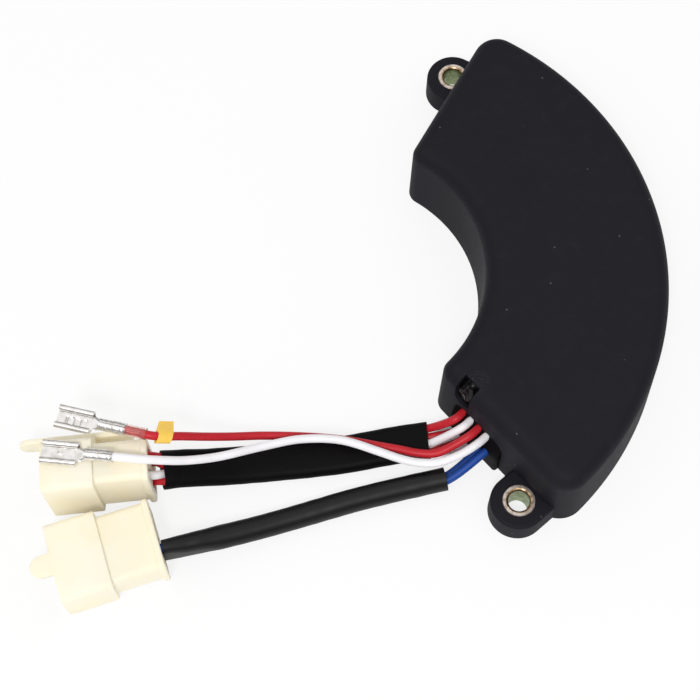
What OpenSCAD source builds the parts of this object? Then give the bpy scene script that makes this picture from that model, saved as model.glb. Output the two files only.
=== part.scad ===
// Automatic voltage regulator of a portable generator, in millimetres.
// A crescent case with two bolt ears is potted with resin round its circuit board.
// Leads leave through a grommet in one end wall, to two plugs and two spade receptacles.
// Origin: midway between the two fixing holes, on the mounting face.
// +X points to the outer arc, +Y along the line of holes, +Z away from the mounting face.

/* [Case] */
// Distance between the two fixing holes
hole_gap = 123; // [115:0.5:131]
// Distance from the line of holes back to the centre of the outer arc
hole_back = 35.2; // [34:0.2:36.4]
// Radius of the outer arc at the base
outer_r = 80.9; // [78:0.1:84]
// Radius of the inner arc at the base
inner_r = 36.5; // [34:0.1:39]
// Distance of the inner arc's centre behind the outer arc's centre
arc_shift = 2.7; // [1:0.1:4]
// Angle between an end wall and the line of holes
end_lean = 34.9; // [33.5:0.1:36.5]
// Distance from a fixing hole's axis to the end wall
wall_in = 4.05; // [3.9:0.05:5]
// Height of the case
case_h = 22.6; // [21.5:0.1:27]
// Draft of the walls, from the base to the roof
draft = 0.8; // [0:0.1:1.2]
// Radius of the rounded edge between the walls and the roof
edge_r = 4.2; // [3:0.1:5]
// Radius of the two outer corners in plan
outer_corner = 7; // [5.6:0.1:9]
// Radius of the two inner corners in plan
inner_corner = 4; // [3:0.1:5]
// Thickness of the walls
wall = 2.2; // [1.6:0.1:2.6]
// Thickness of the roof
roof = 2.4; // [1.6:0.1:3.2]

/* [Ears and bushes] */
// Radius of the ears round the fixing holes
ear_r = 7.2; // [6:0.1:8.5]
// Thickness of the ears
ear_t = 7.5; // [5:0.1:9]
// Outer radius of the bushes
bush_r = 4.05; // [3.6:0.05:4.8]
// Radius of the fixing holes, clear for an M5 bolt
hole_r = 2.6; // [2.1:0.05:2.9]
// Height of a bush above its ear
bush_proud = 0.3; // [0:0.05:0.8]
// Chamfer at the upper mouth of a bush
bush_chamfer = 0.65; // [0.2:0.05:0.7]

/* [Board and potting] */
// Recess of the potting resin below the rim of the base
resin_recess = 0.8; // [0.2:0.1:1.5]
// Height of the underside of the circuit board
board_z = 3; // [2.2:0.1:4]
// Thickness of the circuit board
board_t = 1.6; // [1:0.1:2.4]
// Gap between the edge of the board and the wall
board_gap = 1.2; // [0.6:0.1:2]
// Distance of the board from the end wall where the leads come in
board_back = 10; // [9.8:0.1:11]
// Radius of the component legs
leg_r = 0.4; // [0.25:0.05:0.5]

/* [Components] */
// Thickness of the aluminium heat sink plate
sink_t = 2; // [1.5:0.1:3]
// Length of the heat sink plate
sink_l = 46; // [44:0.5:50]
// Height of the heat sink plate
sink_h = 13; // [11.5:0.1:14]
// Distance of the heat sink plate from the wall
sink_gap = 5; // [4.6:0.1:6.5]
// Thickness of the power transistor
transistor_t = 4.4; // [3.5:0.1:5]
// Width of the power transistor
transistor_w = 15.5; // [10:0.1:17]
// Thickness of the bridge rectifier
rectifier_t = 3.6; // [3:0.1:5]
// Width of the bridge rectifier
rectifier_w = 20; // [16:0.1:22]
// Height of the transistor and the rectifier bodies
package_h = 9.6; // [8:0.1:10]
// Radius of the main capacitor
main_cap_r = 6.5; // [5:0.1:7]
// Height of the main capacitor
main_cap_h = 13; // [10:0.1:14]
// Radius of the timing capacitor
timing_cap_r = 3.15; // [2.5:0.05:4]
// Height of the timing capacitor
timing_cap_h = 11; // [7:0.1:12]
// Length of the film capacitor
film_cap_l = 18; // [13:0.1:19]
// Thickness of the film capacitor
film_cap_t = 6; // [4:0.1:7]
// Height of the film capacitor
film_cap_h = 11; // [8:0.1:12]
// Length of the control chip
chip_l = 9.8; // [9:0.1:11]
// Width of the control chip
chip_w = 6.4; // [5.5:0.1:7]
// Height of the control chip's body
chip_h = 3.4; // [2.5:0.1:4]
// Length of the dropping resistor
dropper_l = 22; // [18:0.1:24]
// Width and height of the dropping resistor
dropper_w = 8; // [6:0.1:9]
// Body radius of the small resistors
resistor_r = 1.2; // [0.8:0.05:1.4]
// Body radius of the diodes
diode_r = 1.35; // [1:0.05:1.5]
// Spacing of the small resistors
resistor_pitch = 4.5; // [3.6:0.1:5]
// Spacing of the diodes along the edge of the board
diode_pitch = 9.2; // [9:0.1:9.5]

/* [Trimmer] */
// Distance of the trimmer slot from the inner corner, along the end wall
trim_s = 9.4; // [8.5:0.1:10.5]
// Width of the trimmer slot
trim_slot_w = 5; // [4:0.1:5.4]
// Depth of the trimmer slot, in from the foot of the end wall
trim_slot_d = 4; // [3.7:0.1:5]
// Web between the grommet's flange and the trimmer slot
trim_web = 0.4; // [0.2:0.1:0.8]
// Length of the trimmer
trim_l = 10; // [9.6:0.1:12]
// Height of the trimmer's body
trim_h = 5.6; // [5:0.1:5.8]
// Radius of the trimmer's adjusting screw
trim_screw_r = 1.1; // [0.8:0.05:1.5]
// Length of the adjusting screw outside the body
trim_screw_l = 1.2; // [0.6:0.1:1.5]
// Distance of the sealing drop below the surface of the case
seal_sunk = 0.9; // [0.6:0.1:1.2]

/* [Lead exit] */
// Distance of the grommet's middle from the inner corner, along the end wall
exit_s = 16; // [15:0.1:17]
// Width of the grommet
exit_w = 17; // [16:0.1:19]
// Height of the grommet
exit_h = 12.4; // [12:0.1:12.6]
// Radius of the grommet's upper corners
exit_round = 3; // [1:0.1:3.5]
// Distance that the grommet stands out of the end wall
exit_proud = 1.3; // [0.5:0.1:2.5]
// Radius of the grommet's front edge at the top
exit_nose = 6.2; // [5.6:0.1:6.2]
// Depth of the grommet inside the end wall
exit_deep = 5; // [4.6:0.1:6]
// Extra width of the grommet's flange on each side, inside the wall
flange_extra = 1; // [0.5:0.1:1.4]
// Thickness of the grommet's inner flange
flange_t = 1.5; // [1:0.1:1.8]

/* [Leads and sleeves] */
// Diameter of a lead over its insulation
lead_d = 2.1; // [1.8:0.05:2.2]
// Clearance round a lead in a hole
lead_clear = 0.05; // [0.02:0.01:0.2]
// Wall of the two sleeves
sleeve_wall = 0.4; // [0.3:0.05:0.5]
// Diameter of the round sleeve at the case end
round_sleeve_d = 5.9; // [5.7:0.1:7]
// Gap between neighbouring leads in a sleeve
sleeve_gap = 0.1; // [0.06:0.01:0.2]
// Height of every other lead in the flat sleeve above or below its middle
flat_lift = 0.45; // [0.35:0.05:0.6]
// Room in the flat sleeve above and below its leads
sleeve_room = 0.2; // [0.15:0.05:0.4]
// Room in the flat sleeve at its two edges
sleeve_edge_room = 0.4; // [0.35:0.05:0.8]
// Radius of the marker band on the red receptacle's lead
marker_r = 2.6; // [1.8:0.1:3]
// Length of the marker band
marker_l = 3.8; // [2:0.1:5]
// Wall of the clear tube behind the red receptacle
clear_wall = 0.35; // [0.2:0.05:0.5]
// Length of the clear tube
clear_l = 5; // [3:0.1:5.5]

/* [Plugs] */
// Length of a plug
plug_l = 25.5; // [24:0.1:27]
// Width of a plug's shroud
plug_w = 20; // [18.5:0.1:21]
// Thickness of a plug's shroud
plug_t = 13; // [12:0.1:13.4]
// Length of a plug's shroud
shroud_l = 12.5; // [11:0.1:14]
// Depth of a plug's mouth
mouth_d = 10.5; // [8:0.1:10.8]
// Wall of a plug's shroud
shroud_wall = 1.5; // [1.1:0.1:1.8]
// Step from the shroud down to the rear body
shroud_step = 1.3; // [0.5:0.1:1.6]
// Corner radius of a plug's section
plug_round = 1.6; // [1:0.1:1.7]
// Spacing of the contacts across a plug
contact_pitch = 8.2; // [7.8:0.1:8.4]
// Spacing of the contacts through the thickness of a plug
contact_rise = 5; // [4.8:0.1:5.2]
// Width of a contact's tab
tab_w = 6.3; // [5:0.1:6.4]
// Thickness of a contact's tab
tab_t = 0.8; // [0.5:0.05:1]
// Width of the latch arm and of the tongue
latch_w = 5.6; // [4:0.1:6.5]
// Thickness of the latch arm
latch_t = 1.5; // [1:0.1:1.8]
// Length of the latch arm past the mouth
latch_out = 6.6; // [5:0.1:7.4]
// Gap between the latch arm and the shroud
latch_gap = 2; // [1:0.1:2.4]
// Length of the tongue past the mouth of the other plug
tongue_out = 5.2; // [4:0.1:6]

/* [Receptacles] */
// Width of a receptacle, for a 4.8 mm tab
spade_w = 6; // [5.7:0.1:6.4]
// Length of a receptacle's rolled body
spade_l = 8.8; // [7.5:0.1:9.5]
// Sheet thickness of a receptacle
spade_t = 0.45; // [0.35:0.05:0.5]
// Radius of a receptacle's rolled sides
spade_roll = 1.15; // [1:0.05:1.25]
// Length of a receptacle's crimp barrel
barrel_l = 6; // [5.4:0.1:7]
// Length of a receptacle's neck
neck_l = 2.6; // [2:0.1:3.5]

/* [Hidden] */

$fn = 64;
// Overshoot of a cut past the face it opens
over = 1;
// Smallest corner radius of an inset outline
least_corner = 0.4;
// Share of the wall that an ear reaches into
ear_bite = 0.6;
// Points on the arcs of the case outline
arc_steps = 15;
corner_steps = 7;
edge_steps = 6;
// Sides of a swept lead and of a swept sleeve
lead_sides = 8;
sleeve_sides = 12;

lead_r = lead_d / 2;
board_top = board_z + board_t;
ceiling = case_h - roof;
arc_c = [-hole_back, 0];
inner_c = arc_c - [arc_shift, 0];
// Near end wall: its direction from the inner corner, its inward side, the point next to the hole, its corner
end_angle = end_lean - 90;
end_u = [sin(end_lean), -cos(end_lean)];
wall_n = [cos(end_lean), sin(end_lean)];
wall_foot = [0, -hole_gap / 2] + wall_n * wall_in;
end_in = fillet_centre(inner_c, inner_r, 0);
mid_r = (outer_r + inner_r) / 2;
sink_x = arc_c.x + outer_r - wall - sink_gap;

trim_slot_z = exit_h + flange_extra + trim_web;

// Places of the components on the board: turn round the outer arc's centre, and radius
main_cap_turn = -27;
timing_cap_turn = 12;
film_cap_turn = 27;
dropper_turn = 40;
first_resistor_turn = -4;
first_diode_turn = 24.5;
main_cap_ring = mid_r - 1;
timing_cap_ring = mid_r - 8;
chip_ring = mid_r - 2;
resistor_ring = mid_r - 12;
diode_inset = 4;
dropper_gap = 2.4;
diode_ring = outer_r - wall - board_gap - diode_inset;
dropper_ring = diode_ring - diode_r - dropper_gap - dropper_l / 2;
// Body lengths of the axial components, their height above the board and the reach of their legs
resistor_l = 6.3;
diode_l = 5.2;
axial_lift = 0.6;
axial_reach = 1.2;
chip_lift = 0.8;
// Capacitor cans: depth of the rolled groove in the radius, and height of the seal in the can's
can_groove = 0.125;
can_seal = 0.17;
// Trimmer: room above it and beside it, and its pins on the board
trim_headroom = 0.7;
trim_side_gap = 0.2;
pin_back = 1.2;
pin_depth = board_back - trim_slot_d + pin_back;
pin_stagger = 1.4;
trim_z = ceiling - trim_headroom - trim_h;

// Lead holes in the grommet: distance along it from its middle, and height
upper_row = 10;
lower_row = 5;
row_pitch = 2.8;
red_plug_hole = [-2 * row_pitch, upper_row];
white_plug_hole = [-row_pitch, upper_row];
red_spade_hole = [0, upper_row];
white_spade_hole = [row_pitch, upper_row];
red_return_hole = [-1.5 * row_pitch, lower_row];
red_sense_hole = [-0.5 * row_pitch, lower_row];
blue_drop = 0.6;
blue_rise = 1.6;
blue_right_place = 1.7;
blue_left_hole = [row_pitch, lower_row - blue_drop];
blue_right_hole = [blue_right_place * row_pitch, lower_row + blue_rise];
lead_holes = [red_plug_hole, white_plug_hole, red_spade_hole, white_spade_hole, red_return_hole,
    red_sense_hole, blue_left_hole, blue_right_hole];
// Ends of the leads before the board, and the straight stretch outside the grommet
lead_short = 0.6;
lead_inside = board_back - lead_short;
lead_straight = 0.8;

// Leads side by side in the sleeves, and half sizes of the sleeves
flat_pitch = sqrt(pow(lead_d + sleeve_gap, 2) - pow(2 * flat_lift, 2));
flat_half = [1.5 * flat_pitch + lead_r + sleeve_edge_room + sleeve_wall,
    flat_lift + lead_r + sleeve_room + sleeve_wall];
pair_side = (lead_d + sleeve_gap) / sqrt(8);
round_half = [round_sleeve_d / 2, round_sleeve_d / 2];
round_end_half = [lead_r + sleeve_edge_room + sleeve_wall,
    contact_rise / 2 + lead_r + sleeve_room + sleeve_wall];

// Routes outside the case, from the straight stretch onwards, chosen by hand
flat_route = [[-19.6, -42.4, 4.2], [-25.5, -42.3, 3.4], [-32, -42.6, 2.8], [-40.5, -43.1, 2.2],
    [-49.5, -43.3, 2.1], [-58, -43.3, 2.3], [-67, -43.5, 3.4], [-74.5, -44, 5.6], [-80.3, -44.5, 8.1],
    [-84, -44.8, 9.1]];
round_route = [[-16.6, -52.6, 3.4], [-24, -53.4, 3.1], [-32, -54.4, 3], [-40, -55.6, 3], [-48, -57.1, 3],
    [-56, -58.7, 3.2], [-64, -60.3, 3.8], [-72, -61.8, 4.8], [-80, -63.2, 5.9], [-86, -64.2, 6.5]];
red_spade_route = [[-14, -46, 8.6], [-18.4, -47.2, 7.6], [-22.8, -46.5, 7.2], [-27, -45, 6.8],
    [-32, -43.3, 6.3], [-41.6, -40.2, 5.6], [-51.2, -38.3, 5.5], [-60.6, -37.5, 6.6], [-67.4, -37.9, 9],
    [-73.6, -38.8, 13], [-79.4, -39.8, 17.6], [-86, -40.5, 21.6], [-97, -36.6, 21.6]];
white_spade_route = [[-12.5, -48.5, 8.8], [-18, -49.7, 8], [-23, -49.2, 7.8], [-27.6, -47.7, 8],
    [-32.2, -45.6, 8.4], [-41.4, -41.4, 8.1], [-51.2, -40.1, 8.2], [-60.9, -41.7, 10], [-71.5, -44.5, 13.6],
    [-79.1, -46, 17.4], [-84.4, -46.4, 20.2], [-90.2, -45.9, 21.6], [-100.6, -43.7, 21.6]];

// Places of the plugs: middle of the mating face, and turn
two_wire_at = [-112.6, -66.6, 0];
two_wire_turn = 12;
four_wire_at = [-113.5, -44.5, plug_w / 2];

// Plug and contact sizes worked out from the shroud and the tab
rear_w = plug_w - 2 * shroud_step;
rear_t = plug_t - 2 * shroud_step;
contact_l = 7;
contact_h = 2.8;
contact_side = 0.15;
contact_box = [contact_l, tab_w + 2 * contact_side, contact_h];
contact_gap = 0.1;
crimp_t = 0.25;
contact_barrel_r = lead_r + crimp_t;
tab_short = 2;
tab_out = mouth_d - tab_short;
wire_depth = 5;
wire_straight = 2;
cell_lead = 0.6;
rim_l = 1.5;
rim_extra = 0.6;

// Length of a lead inside its receptacle's barrel, and gap from the bend to the marker band
barrel_grip = 5;
marker_gap = 1;

// Shared geometry

function arc(c, r, from, to, steps) = [for (i = [0:steps]) let (a = from + (to - from) * i / steps)
    c + r * [cos(a), sin(a)]];
function angle_of(v) = atan2(v.y, v.x);
function unit(v) = v / norm(v);

// Centre of a corner fillet: rho from c, and d inside the line of the end wall
function fillet_centre(c, rho, d) = let (a = wall_foot + wall_n * d - c, k = a * end_u)
    c + a + end_u * (-k + sqrt(k * k - a * a + rho * rho));

// One long side of the case outline, from the near end wall to the far one: corner, arc and corner
function long_side(fillet, q, from, to, c, r) = let (
    a = angle_of(fillet - c),
    half = concat(arc(fillet, q, from, to, corner_steps),
        [for (i = [1:arc_steps - 1]) let (b = a * (1 - i / arc_steps)) c + r * [cos(b), sin(b)]]))
    concat(half, [c + [r, 0]], [for (i = [len(half) - 1:-1:0]) [half[i].x, -half[i].y]]);

function outer_side(inset) = let (
    q = max(outer_corner - inset, least_corner),
    f = fillet_centre(arc_c, outer_r - inset - q, inset + q))
    long_side(f, q, angle_of(-wall_n), angle_of(f - arc_c), arc_c, outer_r - inset);

function inner_side(inset) = let (
    q = max(inner_corner - inset, least_corner),
    f = fillet_centre(inner_c, inner_r + inset + q, inset + q))
    long_side(f, q, angle_of(-wall_n), angle_of(inner_c - f) - 360, inner_c, inner_r + inset);

function outline(inset) = let (b = inner_side(inset))
    concat(outer_side(inset), [for (i = [len(b) - 1:-1:0]) b[i]]);

// Heights and insets of a shell's rings: drafted wall, then the rounded edge up to its roof
function shell_levels(foot, top, skin, r) = let (lean = draft / case_h)
    concat([[foot, skin + lean * foot]], [for (i = [0:edge_steps]) let (t = 90 * i / edge_steps)
        [top - r * (1 - sin(t)), skin + lean * (top - r) + r * (1 - cos(t))]]);

// Closed solid through stacked outlines, its two caps laid as strips between the long sides
module loft(levels) {
    count = len(outline(0));
    last = count - 1;
    top = (len(levels) - 1) * count;
    points = [for (l = levels) for (p = outline(l[1])) [p.x, p.y, l[0]]];
    sides = [for (j = [0:len(levels) - 2]) for (i = [0:last])
        let (k = (i + 1) % count, a = j * count, b = a + count)
        each [[a + i, b + i, b + k], [a + i, b + k, a + k]]];
    caps = [for (i = [0:count / 2 - 2]) each [[i, i + 1, last - i - 1], [i, last - i - 1, last - i],
        [top + i, top + last - i, top + last - i - 1], [top + i, top + last - i - 1, top + i + 1]]];
    polyhedron(points, concat(sides, caps), convexity = 6);
}

module cavity() {
    loft(shell_levels(-over, ceiling, wall, edge_r - wall));
}

// Frame of the near end wall: x along its foot from the inner corner, y inwards
module at_end(s, depth, z) {
    at = end_in + end_u * s + wall_n * depth;
    translate([at.x, at.y, z]) rotate([0, 0, end_angle]) children();
}

// Extrudes a profile in the wall's plane inwards from one depth to another
module through_end(from, to) {
    translate([0, to, 0]) rotate([90, 0, 0]) linear_extrude(to - from) children();
}

// Extrudes a section of depth and height along the end wall, to both sides
module along_end(w) {
    translate([-w / 2, 0, 0]) rotate([90, 0, 90]) linear_extrude(w) children();
}

// Rectangle with round corners
module rounded(w, h, r) {
    square([w - 2 * r, h], center = true);
    square([w, h - 2 * r], center = true);
    for (x = [-1, 1], y = [-1, 1])
        translate([x * (w / 2 - r), y * (h / 2 - r)]) circle(r);
}

// Block along x with a rounded section
module rounded_bar(l, w, h, r) {
    rotate([90, 0, 90]) linear_extrude(l) rounded(w, h, r);
}

// Point on a circle round the outer arc's centre
module at_polar(r, a) {
    translate([arc_c.x + r * cos(a), arc_c.y + r * sin(a), board_top]) rotate([0, 0, a]) children();
}

// Swept cords

function tangent(route, i) = unit(route[min(i + 1, len(route) - 1)] - route[max(i - 1, 0)]);
function lateral(t) = unit(cross([0, 0, 1], t));
// Ring round a point of a route: a circle, or a flat section with round edges
function ring(p, t, half, sides) = let (x = lateral(t), y = cross(t, x), r = min(half))
    [for (k = [0:sides - 1]) let (a = 360 * (k + 0.5) / sides)
        p + x * ((half[0] - r) * sign(cos(a)) + r * cos(a))
            + y * ((half[1] - r) * sign(sin(a)) + r * sin(a))];
function skin(from, rings, sides) = [for (j = [0:rings - 2]) for (k = [0:sides - 1])
    let (n = (k + 1) % sides, a = from + j * sides, b = a + sides)
    each [[a + k, b + k, b + n], [a + k, b + n, a + n]]];
function flipped(faces) = [for (f = faces) [f[2], f[1], f[0]]];

// Solid round cord along a route
module cord(route, r) {
    n = len(route);
    s = lead_sides;
    points = [for (i = [0:n - 1]) each ring(route[i], tangent(route, i), [r, r], s)];
    polyhedron(points, concat(skin(0, n, s), [[for (k = [0:s - 1]) k]],
        [[for (k = [s - 1:-1:0]) (n - 1) * s + k]]), convexity = 4);
}

// Open tube along a route, with its half width and half height at each point
module tube(route, halves, t) {
    n = len(route);
    s = sleeve_sides;
    outer = [for (i = [0:n - 1]) each ring(route[i], tangent(route, i), halves[i], s)];
    inner = [for (i = [0:n - 1]) each ring(route[i], tangent(route, i), halves[i] - [t, t], s)];
    b = n * s;
    e = (n - 1) * s;
    ends = [for (k = [0:s - 1]) let (m = (k + 1) % s)
        each [[k, m, b + m], [k, b + m, b + k], [e + k, b + e + m, e + m], [e + k, b + e + k, b + e + m]]];
    polyhedron(concat(outer, inner), concat(skin(0, n, s), flipped(skin(b, n, s)), ends), convexity = 8);
}

// Route beside another one, off to its side and above it by the offset at each point
function beside(route, offsets) = [for (i = [0:len(route) - 1])
    route[i] + lateral(tangent(route, i)) * offsets[i][0] + [0, 0, offsets[i][1]]];

// One value for each point of a route, changing to another one over the last two points
function eased(from, to, n) = [for (i = [0:n - 1]) i < n - 2 ? from : i == n - 2 ? (from + to) / 2 : to];

// Straight start of a lead: inside the case, at the wall, and just outside the grommet
function exit_points(hole) = let (s = exit_s + hole[0])
    [for (depth = [lead_inside, 0, -exit_proud - lead_straight])
        let (p = end_in + end_u * s + wall_n * depth) [p.x, p.y, hole[1]]];

// Point in the frame of a plug that lies flat, or on its side, to the part's frame
function in_two_wire(p) = two_wire_at + [p.x * cos(two_wire_turn) - p.y * sin(two_wire_turn),
    p.x * sin(two_wire_turn) + p.y * cos(two_wire_turn), p.z + plug_t / 2];
function in_four_wire(p) = four_wire_at + [p.x, p.z, -p.y];
function wire_end(side, row) = [for (x = [wire_straight, 0])
    [plug_l - wire_depth + x, side * contact_pitch / 2, row * contact_rise / 2]];

// Route of one of the four leads in the flat sleeve, from its hole to its contact
function flat_lead(hole, place, side, row) = let (shift = (place - 1.5) * flat_pitch, n = len(flat_route))
    let (rise = place % 2 == 0 ? flat_lift : -flat_lift)
    concat(exit_points(hole), beside(flat_route, [for (i = [1:n]) [shift, rise]]),
        [in_four_wire([plug_l + cell_lead, side * contact_pitch / 4, row * contact_rise / 2])],
        [for (p = wire_end(side, row)) in_four_wire(p)]);

// Route of one of the two leads in the round sleeve
function round_lead(hole, sign) = concat(exit_points(hole),
    beside(round_route, sign * eased([pair_side, pair_side], [0, contact_rise / 2], len(round_route))),
    [for (p = wire_end(-1, sign)) in_two_wire(p)]);

// Leads

module red_plug_lead() {
    color("firebrick") cord(flat_lead(red_plug_hole, 0, -1, 1), lead_r);
}

module red_return_lead() {
    color("firebrick") cord(flat_lead(red_return_hole, 1, 1, 1), lead_r);
}

module white_plug_lead() {
    color("white") cord(flat_lead(white_plug_hole, 2, -1, -1), lead_r);
}

module red_sense_lead() {
    color("firebrick") cord(flat_lead(red_sense_hole, 3, 1, -1), lead_r);
}

module red_spade_lead() {
    color("firebrick") cord(concat(exit_points(red_spade_hole), red_spade_route), lead_r);
}

module white_spade_lead() {
    color("white") cord(concat(exit_points(white_spade_hole), white_spade_route), lead_r);
}

module blue_lead_left() {
    color("royalblue") cord(round_lead(blue_left_hole, -1), lead_r);
}

module blue_lead_right() {
    color("royalblue") cord(round_lead(blue_right_hole, 1), lead_r);
}

module flat_sleeve() {
    color("black") tube(flat_route, [for (p = flat_route) flat_half], sleeve_wall);
}

module round_sleeve() {
    color("black") tube(round_route, eased(round_half, round_end_half, len(round_route)), sleeve_wall);
}

// Case and its fittings

// Ear at the near hole, reaching into the end wall
module near_ear() {
    reach = wall_in + wall * ear_bite;
    translate([0, -hole_gap / 2]) rotate([0, 0, end_angle]) linear_extrude(ear_t) {
        circle(ear_r);
        translate([-ear_r, 0]) square([2 * ear_r, reach]);
    }
}

module trim_slot_profile() {
    r = trim_slot_w / 2;
    translate([0, trim_slot_z + r]) circle(r);
    translate([-r, trim_slot_z + r]) square([trim_slot_w, case_h]);
}

module exit_profile(extra) {
    w = exit_w + 2 * extra;
    h = exit_h + extra;
    translate([-w / 2, 0]) square([w, h - exit_round]);
    translate([-w / 2 + exit_round, 0]) square([w - 2 * exit_round, h]);
    for (x = [-1, 1])
        translate([x * (w / 2 - exit_round), h - exit_round]) circle(exit_round);
}

module case() {
    color("#26252a") difference() {
        union() {
            loft(shell_levels(0, case_h, 0, edge_r));
            near_ear();
            mirror([0, 1, 0]) near_ear();
        }
        cavity();
        for (y = [-1, 1])
            translate([0, y * hole_gap / 2, -over]) cylinder(r = bush_r, h = ear_t + 2 * over);
        at_end(trim_s, 0, 0) through_end(-3 * over, trim_slot_d) trim_slot_profile();
        at_end(exit_s, 0, 0) through_end(-3 * over, exit_deep) exit_profile(0);
        at_end(exit_s, 0, -over) through_end(-3 * over, exit_deep)
            translate([-exit_w / 2, 0]) square([exit_w, 2 * over]);
    }
}

module bush() {
    h = ear_t + bush_proud;
    color("lightgoldenrodyellow") rotate_extrude() polygon([[hole_r, 0], [bush_r, 0], [bush_r, h],
        [hole_r + bush_chamfer, h], [hole_r, h - bush_chamfer]]);
}

module near_bush() {
    translate([0, -hole_gap / 2, 0]) bush();
}

module far_bush() {
    translate([0, hole_gap / 2, 0]) bush();
}

module lead_bores(r, from, to) {
    for (h = lead_holes)
        at_end(exit_s + h[0], 0, h[1]) through_end(from, to) circle(r);
}

// Grommet's section across the end wall, as depth and height, with its round nose
module nose_section() {
    r = exit_nose;
    polygon(concat([[exit_deep, 0], [exit_deep, exit_h]],
        arc([r - exit_proud, exit_h - r], r, 90, 180, corner_steps), [[-exit_proud, 0]]));
}

module lead_grommet() {
    color("#1c1a1a") difference() {
        at_end(exit_s, 0, 0) union() {
            intersection() {
                through_end(-exit_proud, exit_deep) exit_profile(0);
                along_end(exit_w) nose_section();
            }
            through_end(exit_deep - flange_t, exit_deep) flange_profile();
        }
        lead_bores(lead_r + lead_clear, -exit_proud - over, exit_deep + over);
    }
}

// Flange inside the wall, from the resin's face upwards
module flange_profile() {
    intersection() {
        exit_profile(flange_extra);
        translate([-exit_w, resin_recess]) square([2 * exit_w, case_h]);
    }
}

module potting_resin() {
    color("#1b1b1e") difference() {
        intersection() {
            cavity();
            translate([-outer_r, -outer_r, resin_recess]) cube([2 * outer_r, 2 * outer_r, case_h]);
        }
        circuit_board();
        heat_sink();
        power_transistor();
        bridge_rectifier();
        main_capacitor();
        timing_capacitor();
        film_capacitor();
        control_chip();
        dropping_resistor();
        small_resistors();
        diodes();
        trimmer();
        at_end(trim_s, 0, 0) through_end(-over, trim_slot_d) trim_slot_profile();
        at_end(exit_s, 0, 0) union() {
            through_end(-over, exit_deep) exit_profile(0);
            through_end(exit_deep - flange_t, exit_deep) flange_profile();
        }
        lead_bores(lead_r + lead_clear, exit_deep - over, lead_inside);
    }
}

// Sealed electronics

module circuit_board() {
    edge = wall + draft * board_z / case_h + board_gap;
    color("darkgreen") difference() {
        translate([0, 0, board_z]) linear_extrude(board_t) polygon(outline(edge));
        at_end(-outer_r / 2, -outer_r, board_z - over)
            cube([2 * outer_r, outer_r + board_back, board_t + 2 * over]);
    }
}

module heat_sink() {
    color("silver") translate([sink_x - sink_t, -sink_l / 2, board_top]) cube([sink_t, sink_l, sink_h]);
}

// Flat package on legs against the heat sink
module package(y, t, w, legs) {
    lift = sink_h - package_h;
    translate([sink_x - sink_t - t, y - w / 2, board_top + lift]) cube([t, w, package_h]);
    for (i = [0:legs - 1])
        translate([sink_x - sink_t - t / 2, y + w * ((i + 0.5) / legs - 0.5), board_top])
            cylinder(r = leg_r, h = lift);
}

module power_transistor() {
    color("#202020") package(-sink_l / 4, transistor_t, transistor_w, 3);
}

module bridge_rectifier() {
    color("#2a2a2a") package(sink_l / 4, rectifier_t, rectifier_w, 4);
}

// Upright can with a rolled groove above its seal
module can(r, h) {
    groove = r * can_groove;
    seal = h * can_seal;
    rotate_extrude() polygon([[0, 0], [r, 0], [r, seal], [r - groove, seal + groove], [r, seal + 2 * groove],
        [r, h - groove], [r - groove, h], [0, h]]);
}

module main_capacitor() {
    color("navy") at_polar(main_cap_ring, main_cap_turn) can(main_cap_r, main_cap_h);
}

module timing_capacitor() {
    color("navy") at_polar(timing_cap_ring, timing_cap_turn) can(timing_cap_r, timing_cap_h);
}

module film_capacitor() {
    color("goldenrod") at_polar(mid_r, film_cap_turn) translate([-film_cap_l / 2, -film_cap_t / 2, 0])
        cube([film_cap_l, film_cap_t, film_cap_h]);
}

module control_chip() {
    color("#151515") at_polar(chip_ring, 0) {
        translate([-chip_w / 2, -chip_l / 2, chip_lift]) cube([chip_w, chip_l, chip_h]);
        for (x = [-1, 1], i = [-1.5:1.5])
            translate([x * (chip_w / 2 - leg_r), i * chip_l / 4, 0]) cylinder(r = leg_r, h = chip_lift);
    }
}

module dropping_resistor() {
    color("ivory") at_polar(dropper_ring, dropper_turn) translate([-dropper_l / 2, -dropper_w / 2, 0])
        cube([dropper_l, dropper_w, dropper_w]);
}

// Axial component on two bent legs, lying along x
module axial(r, l) {
    lift = r + axial_lift;
    span = l / 2 + axial_reach;
    translate([-l / 2, 0, lift]) rotate([0, 90, 0]) cylinder(r = r, h = l);
    translate([-span, 0, lift]) rotate([0, 90, 0]) cylinder(r = leg_r, h = 2 * span);
    for (x = [-1, 1])
        translate([x * span, 0, 0]) cylinder(r = leg_r, h = lift + leg_r);
}

// Turn round the outer arc's centre that a length along a ring makes
function turn_of(l, r) = l / r * 180 / PI;

module small_resistors() {
    color("tan") for (i = [0:3])
        at_polar(resistor_ring, first_resistor_turn - i * turn_of(resistor_pitch, resistor_ring))
            axial(resistor_r, resistor_l);
}

module diodes() {
    color("#303030") for (i = [0:3])
        at_polar(diode_ring, first_diode_turn + i * turn_of(diode_pitch, diode_ring))
            rotate([0, 0, 90]) axial(diode_r, diode_l);
}

module trimmer() {
    w = trim_slot_w - 2 * trim_side_gap;
    color("steelblue") at_end(trim_s, trim_slot_d, 0) {
        translate([-w / 2, 0, trim_z]) cube([w, trim_l, trim_h]);
        for (i = [-1, 0, 1])
            translate([i * w / 3, pin_depth + pin_stagger * (1 - abs(i)), board_top])
                cylinder(r = leg_r, h = trim_z - board_top);
    }
}

// Height of the adjusting screw's axis
trim_screw_z = trim_z + trim_h / 2;

module trimmer_screw() {
    color("gold") at_end(trim_s, trim_slot_d, trim_screw_z)
        through_end(-trim_screw_l, 0) circle(trim_screw_r);
}

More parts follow.
